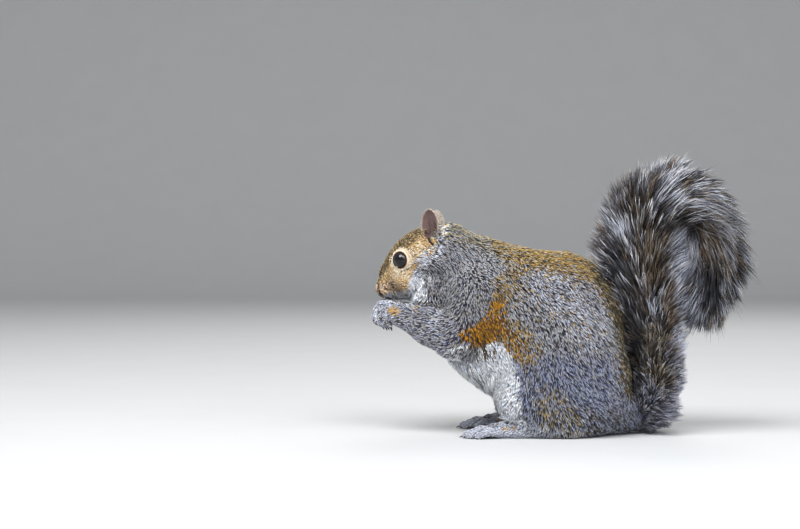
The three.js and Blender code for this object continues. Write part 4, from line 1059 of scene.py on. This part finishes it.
claws, tints = [], []
for sg in (1, -1):
    jobs = [([f[2][0] - 0.7, f[2][1], f[2][2] + 0.3], [0.62 - 0.06 * k, 0.10 * (k - 1.5), -0.70], 2.6 + 0.5 * (k % 2)) for k, f in enumerate(FINGERS)]
    jobs += [([f[2][0] + 2.2, f[2][1] - s[0] * 0.04, f[2][2] + 0.6], [-1, s[0] * 0.015, -0.20], 6.0) for f, s in zip(TOES, TOE_SIZES)]
    for base, way, length in jobs:
        t = np.linspace(0, 1, 9)
        way = unit(np.array(way, float))
        P = np.array(base) + way * length * t[:, None]
        P[:, 2] -= 0.9 * t ** 2
        rad = (0.95 if length > 5 else 0.68) * (1 - t) ** 0.75 + 0.08
        P[:, 2] = np.maximum(P[:, 2], rad + 0.03)
        P[:, 1] *= sg
        v, q, tri = tube(P, rad, 10, 0.72)
        claws.append((v, q, tri))
        k = np.concatenate([np.repeat(t, 10), [0, 1]])[:, None]
        tints.append(srgb(20, 17, 19) * (1 - k) + srgb(52, 46, 45) * k)
joined("claws", claws, HORN, tints)

whiskers, tints = [], []
wr = np.random.default_rng(5)
for sg in (-1, 1):
    for r in range(4):
        for k in range(4):
            u, v = 385.5 + 2.7 * k + 0.6 * r, 286.5 + 2.6 * r + 0.3 * k
            root = groove_points([(u, v)], sg)[0]
            g, _ = slope(root[None], 1.0, fn=lambda Q: head_part(Q[:, 0], Q[:, 1], Q[:, 2], 1))
            n = unit(g[0])
            length = (19 + 5.5 * k + wr.uniform(-3, 3)) * (1 - 0.06 * r)
            way = unit(n * 0.9 + np.array([0.25 + 0.22 * k, 0, 0.30 - 0.26 * r]) + wr.normal(size=3) * 0.05)
            t = np.linspace(0, 1, 12)[:, None]
            P = root - n * 0.5 + way * length * t + np.array([0.30, 0, -0.20]) * length * t ** 2 * 0.6
            whiskers.append(tube(P, 0.075 * (1 - t[:, 0]) ** 0.8 + 0.015, 5))
            kk = np.concatenate([np.repeat(t[:, 0], 5), [0, 1]])[:, None]
            tints.append(srgb(26, 22, 22) * (1 - kk) + srgb(96, 88, 84) * kk)
joined("whiskers", whiskers, WHISKER_MAT, tints)


# ------------------------------------------------------------ the coat
def scatter(V, F, cell, keep, seed):
    """Even random places on the faces that keep(points) allows."""
    r = np.random.default_rng(seed)
    a, b, c = V[F[:, 0]], V[F[:, 1]], V[F[:, 2]]
    area = 0.5 * np.linalg.norm(np.cross(b - a, c - a), axis=1)
    m = keep((a + b + c) / 3)
    a, b, c, area = a[m], b[m], c[m], area[m]
    n = int(area.sum() / cell ** 2 * 5)
    f = np.searchsorted(np.cumsum(area), r.uniform(0, area.sum(), n))
    f = np.minimum(f, len(area) - 1)
    s, t = r.uniform(size=(2, n))
    flip = s + t > 1
    s, t = np.where(flip, 1 - s, s), np.where(flip, 1 - t, t)
    P = a[f] + s[:, None] * (b - a)[f] + t[:, None] * (c - a)[f]
    key = np.floor(P / cell + r.uniform(size=3)).astype(np.int64)
    key = (key[:, 0] + 4000) * 64000000 + (key[:, 1] + 4000) * 8000 + key[:, 2] + 4000
    _, i = np.unique(key, return_index=True)
    return P[i]


def hair_colours(W, seed, lift=1.0):
    """Root, middle and tip colours for each tuft: (n,3,3)."""
    r = np.random.default_rng(seed)
    n = len(W)
    cum = np.cumsum(W, 1)
    kind = (r.uniform(size=n)[:, None] * cum[:, -1:] > cum).sum(1)
    kind = np.minimum(kind, len(KINDS) - 1)
    pick = r.uniform(size=n)
    out = np.zeros((n, 3, 3))
    for k, name in enumerate(KINDS):
        at = 0.0
        for share, root, mid, tip in HAIRS[name]:
            m = (kind == k) & (pick >= at) & (pick < at + share + 1e-9)
            out[m] = np.stack([srgb(*root), srgb(*mid), srgb(*tip)])
            at += share
    vary = np.exp(r.normal(0, 0.17, n))[:, None, None]
    warm = r.normal(0, 0.035, n)
    out = out * vary
    out[:, :, 0] *= (1 + warm)[:, None]
    out[:, :, 2] *= (1 - warm)[:, None]
    return np.clip(out * lift, 0.002, 0.9)


def leaders(P, spacing, seed):
    """For each place, the nearest of a thinner set of places."""
    key = np.floor(P / spacing).astype(np.int64)
    key = (key[:, 0] + 4000) * 64000000 + (key[:, 1] + 4000) * 8000 + key[:, 2] + 4000
    perm = np.random.default_rng(seed).permutation(len(P))
    _, lead = np.unique(key[perm], return_index=True)
    lead = perm[lead]
    tree = kdtree.KDTree(len(lead))
    for k, i in enumerate(lead):
        tree.insert(P[i], k)
    tree.balance()
    return lead[np.array([tree.find(p)[1] for p in P])]


def guided(P, paths, spacing, pull, seed):
    """Leans each path towards that of the nearest guide: locks. paths (n,k,3), pull (k,)."""
    r = np.random.default_rng(seed)
    key = np.floor(P / spacing).astype(np.int64)
    key = (key[:, 0] + 4000) * 64000000 + (key[:, 1] + 4000) * 8000 + key[:, 2] + 4000
    _, lead = np.unique(key[r.permutation(len(P))], return_index=True)
    perm = np.random.default_rng(seed).permutation(len(P))
    lead = perm[lead]
    tree = kdtree.KDTree(len(lead))
    for k, i in enumerate(lead):
        tree.insert(P[i], k)
    tree.balance()
    g = np.array([tree.find(p)[1] for p in P])
    G = paths[lead[g]]
    return paths + (G - paths) * np.asarray(pull)[None, :, None] * r.uniform(0.6, 1.15, len(P))[:, None, None]


def tufts(name, paths, side, up, widths, thick, colours, grid, material):
    """Solid tufts: a three-sided prism along each path, closed at its root and ending in a point.
    paths (n,k,3); side, up (n,3); widths (n,k-1); colours (n,k,3); grid (n,2): place on the skin's unwrap."""
    n, k, _ = paths.shape
    rings = k - 1
    w, h = widths[:, :, None] * 0.5, widths[:, :, None] * thick
    base = paths[:, :rings]
    s, u = side[:, None, :], up[:, None, :]
    ring = np.stack([base - s * w, base + u * h, base + s * w], 2)          # (n, rings, 3, 3)
    V = np.concatenate([ring.reshape(n, rings * 3, 3), paths[:, -1:]], 1)
    V[:, :, 2] = np.maximum(V[:, :, 2], 0.06)
    nv = rings * 3 + 1
    C = np.concatenate([np.repeat(colours[:, :rings], 3, 1), colours[:, -1:]], 1)
    tri, uv = [], []
    for i in range(rings - 1):
        for j in range(3):
            a, b = i * 3 + j, i * 3 + (j + 1) % 3
            u0, u1, v0, v1 = j / 3, (j + 1) / 3, 0.12 + 0.88 * i / rings, 0.12 + 0.88 * (i + 1) / rings
            tri += [(a, b, b + 3), (a, b + 3, a + 3)]
            uv += [((u0, v0), (u1, v0), (u1, v1)), ((u0, v0), (u1, v1), (u0, v1))]
    i = rings - 1
    for j in range(3):
        a, b = i * 3 + j, i * 3 + (j + 1) % 3
        tri.append((a, b, nv - 1))
        uv.append(((j / 3, 0.12 + 0.88 * i / rings), ((j + 1) / 3, 0.12 + 0.88 * i / rings), ((j + 0.5) / 3, 1)))
    tri.append((0, 2, 1))
    uv.append(((0, 0.1), (1, 0.1), (0.5, 0)))
    tri, uv = np.array(tri), np.array(uv, float)
    # outward: tested on the first tuft
    q = V[0][tri] - V[0].mean(0)
    if (q[:, 0] * np.cross(q[:, 1], q[:, 2])).sum() < 0:
        tri, uv = tri[:, ::-1], uv[:, ::-1]
    faces = (np.arange(n)[:, None, None] * nv + tri[None]).reshape(-1, 3)
    ob = new_mesh(name, V.reshape(-1, 3), faces, material)
    paint(ob, C.reshape(-1, 3))
    # each tuft's patch: rows along the first coordinate of the unwrap, columns along the second
    R = int(math.ceil(math.sqrt(n)))
    order = np.argsort(grid[:, 0], kind="stable")
    row = np.empty(n, int)
    row[order] = np.arange(n) * R // n
    col = np.empty(n)
    for q in range(R):
        m = np.nonzero(row == q)[0]
        m = m[np.argsort(grid[m, 1], kind="stable")]
        col[m] = (np.arange(len(m)) + 0.5) / len(m)
    size = min(0.84 / R, 0.006)
    origin = np.stack([col - size / 2, (row + 0.5) / R - size / 2], 1)
    coords = origin[:, None, None, :] + uv[None] * size
    layer = ob.data.uv_layers.new(name="OFBake")
    layer.data.foreach_set("uv", coords.reshape(-1).astype(np.float32))
    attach(ob, "root")
    return ob


def short_coat(label, keep, cell, length, width, seed, material=FUR, thick=0.42, lock=(3.0, 0.16), pieces=1, floor_ok=True):
    """Tufts over part of the flesh, lying along it, with their tips at the coat's outline."""
    P = scatter(FLESH_V, FLESH_F, cell, keep, seed)
    r = np.random.default_rng(seed + 1)
    g, _ = slope(P, 1.0)
    N = unit(g)
    near = parts_at(P)
    D = flow(P, N, near)
    depth = np.clip(-field(P[:, 0], P[:, 1], P[:, 2], 0.0, bone=False), 0.25, 5.0)
    L = length(P, near) * r.uniform(0.84, 1.12, len(P))
    H = np.minimum(depth * r.uniform(0.80, 1.08, len(P)), 0.66 * L)
    # the belly's hair hangs in loose wisps
    wisp = step(-38, -45, P[:, 0]) * step(-78, -70, P[:, 0]) * step(54, 46, P[:, 2]) * step(16, 22, P[:, 2]) * step(22, 16, np.abs(P[:, 1]))
    wisp = wisp * step(-0.1, 0.7, cloud(P, 5, 2) + np.random.default_rng(seed + 9).normal(0, 0.35, len(P)))
    H, L = H + 1.9 * wisp, L + 1.6 * wisp
    yaw = r.normal(0, 0.15, len(P))[:, None]
    S = np.cross(D, N)
    D = unit(D * np.cos(yaw) + S * np.sin(yaw))
    S = unit(np.cross(D, N))
    # up to height h1 over the first part, then out to the tip at height H
    m, h1 = 0.68, 0.84 * H
    p0 = P - N * 0.35
    p1 = P + D * np.sqrt(np.maximum((m * L) ** 2 - h1 ** 2, 0.04))[:, None] + N * h1[:, None]
    g1, d1 = slope(p1, 1.0, e=0.3)
    n1 = unit(g1)
    p1 = p1 + n1 * np.clip(h1 - d1, -5, 2.5)[:, None]
    D2 = D - (D * n1).sum(1)[:, None] * n1
    p2 = p1 + unit(D2) * ((1 - m) * L)[:, None] + n1 * (H - h1)[:, None]
    g2, d2 = slope(p2, 1.0, e=0.3)
    p2 = p2 + unit(g2) * np.clip(H - d2, -3, 1.5)[:, None]
    Q = 0.45 * p1 + 0.55 * p2                                # the part of a tuft that shows
    W = marks(Q, parts_at(Q))
    paths = np.stack([p0, p1, p2], 1)
    paths = guided(P, paths, lock[0], (0, lock[1] * 0.4, lock[1]), seed + 2)
    # no hair over the eyes
    for c in EYES.values():
        for k in (1, 2):
            v = paths[:, k] - c
            d = np.linalg.norm(v, axis=1)
            push = np.maximum(5.75 - d, 0)[:, None]
            paths[:, k] += unit(v) * push
    C = hair_colours(W, seed + 3)
    w = (width(P, near) if callable(width) else np.full(len(P), width)) * r.uniform(0.8, 1.2, len(P))
    widths = np.stack([w * 0.75, w], 1)
    flat = (thick * (1 - 0.6 * W[:, KINDS.index("white")]))[:, None, None]      # the white coat is finer, so its tufts are flatter
    up = unit(np.cross(S, unit(p2 - p0)))
    up = up * np.sign((up * N).sum(1))[:, None]
    # places on the flesh's own unwrap: along the body, and round it
    tt, _, tc = TRUNK.place(P[:, 0], P[:, 1], P[:, 2])
    along = P[:, 0] * 0.75 - P[:, 2] * 0.35
    round_ = np.arctan2(P[:, 1], N[:, 2] * 20 + 1e-3)
    order = np.argsort(along)
    groups = np.array_split(order, pieces)
    for q, gi in enumerate(groups):
        nm = label if pieces == 1 else f"{label}_{q + 1}"
        tufts(nm, paths[gi], S[gi], up[gi], widths[gi], flat[gi], C[gi], np.stack([along[gi], round_[gi]], 1), material)
    return len(P)


def is_tail(P):
    b = bone_part(P[:, 0], P[:, 1], P[:, 2], 1)
    return (P[:, 0] > 40) & (b < 0.8)


def on_head(P):
    near = parts_at(P)
    return (near[:, 0] < near[:, 1] - 1.0) & (P[:, 0] < -70)


def eye_clear(P):
    m = np.ones(len(P), bool)
    for c in EYES.values():
        m &= np.linalg.norm(P - c, axis=1) > 5.15
    return m


def groove_clear(P):
    m = np.ones(len(P), bool)
    i = np.nonzero(grooved(P))[0]
    m[i] = groove_distance(P[i]) > 0.45
    i = np.nonzero((P[:, 0] < -100) & (P[:, 2] < 77) & (P[:, 2] > 60))[0]
    m[i] &= cleft(P[i]) > 0.02
    return m


def small_part(P):
    near = parts_at(P)
    return np.minimum(near[:, 4], near[:, 5]) < np.minimum(np.minimum(near[:, 1], near[:, 2]), near[:, 3]) - 0.6


def blend_by(near, values, k=3.0):
    part = np.exp(-(near - near.min(1)[:, None]) / k)
    return (part * np.asarray(values)[None]).sum(1) / part.sum(1)


# length by part: head, trunk, thigh, arm, paw, foot
def body_length(P, near):
    L = blend_by(near, [4.6, 6.0, 6.0, 4.8, 2.4, 2.8])
    u, v = uv_of(P[:, 0], P[:, 2])
    belly = step(515, 500, u) * step(345, 360, v) * step(0, 1, near[:, 3] - 0.5)
    return L * (1 + 0.6 * belly)


def head_length(P, near):
    X, Y = to_head(P[:, 0], P[:, 1])
    L = np.interp(X, [-111, -104, -96, -86, -76, -66], [1.2, 1.8, 2.4, 3.2, 4.0, 5.0])
    for c in EYES.values():
        L = np.minimum(L, 1.2 + 0.42 * np.maximum(np.linalg.norm(P - c, axis=1) - 5.2, 0))
    for sg in (-1, 1):
        e = np.array([*from_head(-78.2, 14.0 * sg), 115.5])
        L = np.minimum(L, 1.3 + 0.45 * np.maximum(np.linalg.norm((P - e) * [1.0, 1.0, 0.8], axis=1) - 3.2, 0))
    return L


n1 = short_coat("coat_body", lambda P: ~is_tail(P) & ~on_head(P) & ~small_part(P) & (P[:, 2] > 1.2), 0.757, body_length, 0.66, 100, pieces=4)
n2 = short_coat("coat_head", lambda P: on_head(P) & ~small_part(P) & eye_clear(P) & groove_clear(P), 0.60, head_length,
                lambda P, near: np.interp(to_head(P[:, 0], P[:, 1])[0], [-111, -100, -85, -70], [0.28, 0.34, 0.44, 0.60]), 200,
                lock=(2.2, 0.22))
n3 = short_coat("coat_limbs", lambda P: small_part(P) & groove_clear(P), 0.70, lambda P, near: blend_by(near, [2.4, 3.4, 3.4, 3.0, 1.5, 2.0]) * np.where((P[:, 0] < -100) & (P[:, 2] < 69), 0.7, 1), 0.5, 300,
                lock=(1.8, 0.3))
print("tufts", n1, n2, n3)


# ------------------------------------------------------------ ear fur
def ear_fur():
    paths, side, up, widths, cols, grid = [], [], [], [], [], []
    r = np.random.default_rng(41)
    for name, (ev, ef, info, nf) in EAR_DATA.items():
        t, s, edge = info.T
        front, back = ev[:nf], ev[nf:]
        tri = np.concatenate([ef[:, :3], ef[:, [0, 2, 3]]])
        a, b, c = ev[tri[:, 0]], ev[tri[:, 1]], ev[tri[:, 2]]
        cr = np.cross(b - a, c - a)
        area = 0.5 * np.linalg.norm(cr, axis=1)
        m = area > 1e-6
        tri, cr, area = tri[m], cr[m], area[m]
        n = 2700
        f = np.searchsorted(np.cumsum(area), r.uniform(0, area.sum(), n))
        f = np.minimum(f, len(area) - 1)
        q = r.dirichlet((1, 1, 1), n)
        P = (ev[tri[f]] * q[:, :, None]).sum(1)
        N = unit(cr[f])
        full = np.concatenate([info, info])
        I = (full[tri[f]] * q[:, :, None]).sum(1)
        inner = (tri[f] < nf).all(1)
        tt, ss, ed = I.T
        keep = (tt > 0.02) & (~inner | (ed < 0.55) | (r.uniform(size=n) < 0.14))
        P, N, tt, ss, ed, inner = P[keep], N[keep], tt[keep], ss[keep], ed[keep], inner[keep]
        U = turn_from_head(unit(np.array(EAR["lean"], float)) * np.array([1, 1 if name == "left" else -1, 1]))
        mid = np.array([*from_head(EAR["x"], EAR["y"] * (1 if name == "left" else -1)), EAR["z"] + 5])
        out = unit(P - mid)
        rimk = step(1.6, 0.3, ed)[:, None]
        D = U * (1 - 0.6 * rimk) + out * (0.35 + 0.9 * rimk)
        D = D - (D * N).sum(1)[:, None] * N * (1 - 0.3 * rimk)
        D = unit(D + r.normal(0, 0.12, D.shape))
        L = np.where(inner & (ed > 0.7), 0.9, 0.85) * r.uniform(0.7, 1.25, len(P))
        lift = np.where(inner, 0.30, 0.22)
        p1 = P + (L * 0.5)[:, None] * unit(D + N * lift[:, None] * 1.3)
        p2 = p1 + (L * 0.5)[:, None] * unit(D + N * lift[:, None] * 0.4)
        paths.append(np.stack([P - N * 0.1, p1, p2], 1))
        S = unit(np.cross(D, N))
        side.append(S)
        up.append(unit(np.cross(S, D)) * np.sign((np.cross(S, D) * N).sum(1))[:, None])
        w = 0.26 * r.uniform(0.8, 1.2, len(P))
        widths.append(np.stack([w * 0.8, w], 1))
        rimc = np.stack([srgb(120, 104, 94), srgb(164, 148, 136), srgb(212, 198, 186)])
        inc = np.stack([srgb(84, 66, 62), srgb(116, 94, 90), srgb(170, 148, 140)])
        outc = np.stack([srgb(112, 100, 90), srgb(166, 154, 142), srgb(226, 218, 208)])
        low = step(0.45, 0.05, tt)[:, None, None] * (~inner)[:, None, None]
        base = np.where(inner[:, None, None] & (ed[:, None, None] > 0.55), inc[None], np.where(ed[:, None, None] < 1.0, rimc[None], outc[None]))
        grey = np.stack([srgb(70, 64, 60), srgb(130, 120, 106), srgb(214, 202, 180)])
        base = base * (1 - 0.7 * low) + grey[None] * 0.7 * low
        cols.append(base * np.exp(r.normal(0, 0.12, len(P)))[:, None, None])
        grid.append(np.stack([tt + (0 if name == "left" else 3) + (~inner) * 1.4, ss], 1))
    cat = np.concatenate
    tufts("coat_ears", cat(paths), cat(side), cat(up), cat(widths), 0.45, np.clip(cat(cols), 0.002, 0.92), cat(grid), FUR)


ear_fur()


# ------------------------------------------------------------ the tail's hair
def tail_hair():
    bone = catmull([[a, b, r] for a, b, r in TAIL_BONE], 400)
    seg = np.linalg.norm(np.diff(bone[:, :2], axis=0), axis=1)
    arc = np.concatenate([[0], np.cumsum(seg)])
    total = arc[-1]
    start = 24.0
    n = 34000
    r = np.random.default_rng(77)
    a = start + (total - start) * r.uniform(0, 1, n)
    # a brush of hair also leaves the end of the bone
    tipn = int(n * 0.05)
    a[:tipn] = total - 6 * r.uniform(0, 1, tipn) ** 2
    i = np.clip(np.searchsorted(arc, a) - 1, 0, 398)
    f = ((a - arc[i]) / seg[i])[:, None]
    c = bone[i] * (1 - f) + bone[i + 1] * f
    t2 = unit(bone[np.minimum(i + 6, 399), :2] - bone[np.maximum(i - 5, 0), :2])
    T = np.stack([t2[:, 0], np.zeros(n), t2[:, 1]], 1)
    O = np.stack([-t2[:, 1], np.zeros(n), t2[:, 0]], 1)            # outer side of the curl
    B = np.array([0.0, 1.0, 0.0])[None] * np.ones((n, 1))
    al = r.uniform(-math.pi, math.pi, n)
    al = al - 0.28 * np.sin(2 * al)
    s = (a - start) / (total - start)
    R = np.cos(al)[:, None] * O + np.sin(al)[:, None] * B
    root = np.stack([c[:, 0], np.zeros(n), c[:, 1]], 1) + R * (c[:, 2] * 0.9)[:, None]
    # leaning along the tail: nearly square at the base, flatter further up, sweeping on at the tip
    inward = step(0.1, -0.8, np.cos(al)) * step(0.04, 0.14, s) * step(1.0, 0.86, s)
    beta0 = np.interp(s, [0, 0.10, 0.3, 0.7, 0.9, 1], [1.5, 1.30, 1.10, 1.05, 0.85, 0.45]) + 0.15 * inward + r.normal(0, 0.14, n)
    beta1 = np.interp(s, [0, 0.10, 0.3, 0.7, 0.9, 1], [1.25, 1.0, 0.66, 0.60, 0.45, 0.18]) + 0.30 * inward + r.normal(0, 0.13, n)
    al2 = al + r.normal(0, 0.20, n)
    R2 = np.cos(al2)[:, None] * O + np.sin(al2)[:, None] * B
    d0 = unit(np.cos(beta0)[:, None] * T + np.sin(beta0)[:, None] * R)
    d1 = unit(np.cos((beta0 + beta1) / 2)[:, None] * T + np.sin((beta0 + beta1) / 2)[:, None] * (R + R2) / 2)
    d2 = unit(np.cos(beta1)[:, None] * T + np.sin(beta1)[:, None] * R2)
    # each hair ends about the outline of the brush
    mean = unit(d0 + d1 + d2)
    reach = np.full(n, 46.0)
    done = np.zeros(n, bool)
    for k in range(1, 24):
        q = root + mean * (2.0 * k)
        out = (TAIL(q[:, 0], q[:, 1], q[:, 2]) > 0) & ~done
        reach[out] = 2.0 * k
        done |= out
    key = np.stack([a, al * 12, 0 * a], 1)
    lead = leaders(key, 3.3, 79)
    short = r.uniform(0, 1, n) ** 1.7
    short = np.where(r.uniform(size=n) < 0.5, short[lead], short)
    L = np.maximum(np.clip(reach, 9, 42) * (1 - 0.50 * short), 7)
    p1 = root + d0 * (0.36 * L)[:, None]
    p2 = p1 + unit(d1 + [0, 0, -0.05]) * (0.40 * L)[:, None]
    p3 = p2 + unit(d2 + [0, 0, -0.14]) * (0.24 * L)[:, None]
    grown = step(0.14, 0.34, s)
    outer = np.cos(al)
    trim = 3.4 * step(0.26, 0.12, s) * step(0.02, 0.08, s) * step(0.2, -0.5, outer) + 3.4 * step(0.60, 0.67, s) * step(0.82, 0.76, s) * step(0.0, 0.6, outer)
    trim = trim - 1.8 * step(0.36, 0.46, s) * step(0.62, 0.54, s) * step(0.0, 0.6, outer) - 3.2 * step(0.38, 0.26, s) * step(0.0, 0.6, outer)
    fringe = 7.0 * step(0.1, -0.7, outer) * step(0.82, 0.94, s) + 4.5 * step(0.09, 0.03, s) * step(0.2, -0.5, outer)
    left = 0.6 + 1.8 * grown + 5.5 * inward * grown - trim + fringe - TAIL(p3[:, 0], p3[:, 1], p3[:, 2]) - 11.0 * short * (1 - 0.5 * inward)
    left = np.clip(left, -4, 17)[:, None] * unit(R + 0.35 * T)
    p1, p2, p3 = p1 + 0.15 * left, p2 + 0.70 * left, p3 + 1.05 * left
    wave = np.stack([cloud(p2, 13, 0), cloud(p2, 17, 1), cloud(p2, 13, 2)], 1) * [2.6, 2.6, 2.6]
    p2, p3 = p2 + 0.45 * wave, p3 + wave
    paths = np.stack([root - R * 0.4, p1, p2, p3], 1)
    paths = guided(key, paths, 3.4, (0, 0.10, 0.30, 0.46), 78)
    # a few long loose hairs on the outer side
    loose = (r.uniform(size=n) < 0.05 * step(0.35, 0.7, s) + 0.02) & (np.cos(al) > -0.3)
    far = paths[:, 3] - paths[:, 0]
    paths[loose, 3] += unit(far[loose]) * r.uniform(2, 8, loose.sum())[:, None] + [0, 0, -1.5]
    # bands: brown near the flesh, a dark band, and a frosted end
    pick = r.uniform(size=n)
    pick = np.where(r.uniform(size=n) < 0.64, pick[lead], pick)
    spot = root + mean * (L * 0.6)[:, None]
    patch = cloud(spot, 16, 1) + 0.7 * cloud(spot, 7, 3)
    C = np.zeros((n, 4, 3))
    C[:, 0] = srgb(34, 28, 23)
    C[:, 1] = srgb(42, 36, 34)
    C[:, 2] = srgb(130, 131, 140)
    C[:, 3] = srgb(232, 235, 245)
    k = (pick < 0.24) | (patch > 0.95)
    C[k, 1] = srgb(84, 64, 36)
    C[k, 2] = srgb(92, 71, 42)
    C[k, 3] = srgb(158, 138, 104)
    k = (pick > 0.24) & (pick < 0.66) | (patch < -0.65)
    C[k, 1] = srgb(29, 26, 28)
    C[k, 2] = srgb(33, 31, 36)
    C[k, 3] = srgb(66, 66, 75)
    k = (pick > 0.92)
    C[k, 1] = srgb(84, 80, 82)
    C[k, 2] = srgb(176, 179, 191)
    C[k, 3] = srgb(240, 242, 250)
    # zones of the brush, by where each part of a hair lies
    zu, zv = uv_of(paths[:, :, 0], paths[:, :, 2])
    zu = zu + 3.0 * cloud(spot, 11, 2)[:, None]
    zones = [  # from, to, radius, softness, amount, colour, share of the hairs
        ((678, 245), (686, 345), 9, 8, 0.82, srgb(192, 196, 210), 0.66),
        ((672, 350), (684, 385), 8, 12, 0.66, srgb(176, 179, 196), 0.62),
        ((640, 392), (672, 408), 9, 12, 0.72, srgb(172, 174, 190), 0.72),
        ((642, 425), (664, 420), 8, 7, 0.74, srgb(146, 146, 160), 0.74),
        ((646, 236), (652, 266), 9, 12, 0.82, srgb(74, 58, 31), 0.80),
        ((640, 262), (636, 345), 7, 12, 0.60, srgb(84, 64, 38), 0.6),
        ((664, 288), (668, 320), 4, 8, 0.75, srgb(98, 75, 41), 0.7),
        ((702, 232), (708, 268), 6, 10, 0.55, srgb(88, 69, 46), 0.55),
        ((703, 284), (706, 304), 7, 9, 0.92, srgb(22, 23, 32), 0.94),
        ((655, 226), (680, 222), 5, 8, 0.88, srgb(26, 20, 17), 0.92),
        ((680, 222), (688, 236), 4, 7, 0.86, srgb(26, 21, 18), 0.92),
        # painted shade down the brush's inner edge beside the rump
        ((612, 262), (634, 345), 6, 8, 0.84, srgb(28, 28, 35), 0.88),
        ((632, 345), (632, 392), 4, 7, 0.84, srgb(32, 31, 36), 0.88),
        ((652, 336), (660, 382), 9, 10, 0.62, srgb(146, 136, 120), 0.62),
        # painted shade: darker hair on the brush's lit left outline
        ((596, 240), (610, 196), 10, 10, 0.88, srgb(36, 34, 39), 0.80),
        ((622, 210), (636, 256), 9, 9, 0.60, srgb(70, 55, 36), 0.42),
        # painted shade on the brush's upper left outline
        ((610, 196), (655, 170), 8, 9, 0.78, srgb(42, 40, 45), 0.66),
        ((612, 225), (624, 244), 3, 6, 0.80, srgb(206, 210, 222), 0.7),
        ((646, 302), (652, 310), 3, 6, 0.75, srgb(206, 210, 222), 0.6),
        ((654, 192), (690, 205), 3, 6, 0.55, srgb(206, 210, 222), 0.36),
        ((703, 203), (722, 232), 8, 9, 0.50, srgb(184, 186, 194), 0.50),
    ]
    for za, zb, zr, zs, amount, colour, part in zones:
        m = stroke(zu, zv, za, zb, zr, zs) * amount * (r.uniform(size=n) < part)[:, None]
        C = C * (1 - m[:, :, None]) + colour * m[:, :, None]
    C *= np.exp(r.normal(0, 0.15, n))[:, None, None]
    gone = (s > 0.74) & (np.cos(al) > 0.25) & (r.uniform(size=n) < 0.45)
    S = unit(np.cross(d0, R + 1e-6))
    S = unit(S + 0.5 * r.normal(size=S.shape))
    up = unit(np.cross(S, mean))
    w = np.where(loose, 0.30, 0.47) * r.uniform(0.7, 1.25, n) * 1
    widths = np.stack([w * 0.7, w, w * 0.85], 1)
    order = np.argsort(a)
    order = order[~gone[order]]
    groups = np.array_split(order, 3)
    for q, gi in enumerate(groups):
        tufts(f"coat_tail_{q + 1}", paths[gi], S[gi], up[gi], widths[gi], 0.5, np.clip(C[gi], 0.002, 0.9), np.stack([a[gi], al[gi]], 1), TAIL_FUR)
    return n


n4 = tail_hair()
print("tail", n4)

# ------------------------------------------------------------ stage, light, camera
floor_mat = node_material("floor", 0.8, spec=0.15, variation=0.012, noise_mm=60, tint=(0.47, 0.47, 0.465), rough_noise=0)
SWEEP_Y, SWEEP_R = 2.3, 1.1                      # where the floor begins to turn up into the wall, and the turn's radius
bend = [(-6.0, 0.0), (-1.5, 0.0), (0.5, 0.0), (SWEEP_Y, 0.0)]
bend += [(SWEEP_Y + SWEEP_R * math.sin(k * math.pi / 36), SWEEP_R * (1 - math.cos(k * math.pi / 36))) for k in range(1, 19)]
bend += [(SWEEP_Y + SWEEP_R, 3.0), (SWEEP_Y + SWEEP_R, 6.0)]
fm = bpy.data.meshes.new("floor")
fm.from_pydata([(sx, a, b) for a, b in bend for sx in (-7.0, 7.0)], [], [(2 * k, 2 * k + 1, 2 * k + 3, 2 * k + 2) for k in range(len(bend) - 1)])
fm.polygons.foreach_set("use_smooth", [True] * len(fm.polygons))
floor = bpy.data.objects.new("floor", fm)
fm.materials.append(floor_mat)
bpy.context.scene.collection.objects.link(floor)
floor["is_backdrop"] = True


def area(name, place, size, power, colour, target=(0, 0, 0.08)):
    d = bpy.data.lights.new(name, "AREA")
    d.shape, d.size, d.energy, d.color = "DISK", size, power, colour
    o = bpy.data.objects.new(name, d)
    o.location = place
    o.rotation_euler = (Vector(target) - Vector(place)).to_track_quat("-Z", "Y").to_euler()
    bpy.context.scene.collection.objects.link(o)
    return o


area("sky_key", (-0.55, -0.75, 1.35), 1.0, 31, (0.98, 0.985, 1.0))
area("sky_fill", (0.9, -0.9, 0.8), 1.2, 8, (0.94, 0.97, 1.0))
area("catch", (0.16, -0.76, 0.90), 0.50, 6.5, (0.90, 0.94, 1.0), (-0.095, -0.01, 0.10))
area("sky_back", (0.3, 1.1, 1.2), 1.0, 9, (1.0, 0.98, 0.95))
world = bpy.data.worlds.new("studio")
bpy.context.scene.world = world
world.use_nodes = True
world.node_tree.nodes["Background"].inputs["Color"].default_value = (0.88, 0.91, 0.96, 1)
world.node_tree.nodes["Background"].inputs["Strength"].default_value = 0.66

cam_data = bpy.data.cameras.new("camera")
cam = bpy.data.objects.new("camera", cam_data)
cam_data.sensor_width = 36
cam_data.lens = 36 * (1000 / PX) / 800
cam.location = to_m([-96.2, -1000.0, 113.0])
cam.rotation_euler = (math.radians(90) - math.atan(24.5 * PX / 1000), 0, 0)
cam_data.clip_start, cam_data.clip_end = 0.01, 50
bpy.context.scene.collection.objects.link(cam)
bpy.context.scene.camera = cam
bpy.context.scene.view_settings.view_transform = "Standard"

lo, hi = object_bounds()
tris = {o.name: sum(len(p.vertices) - 2 for p in o.data.polygons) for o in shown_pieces() if o.type == "MESH"}
print("triangles", sum(tris.values()), tris)
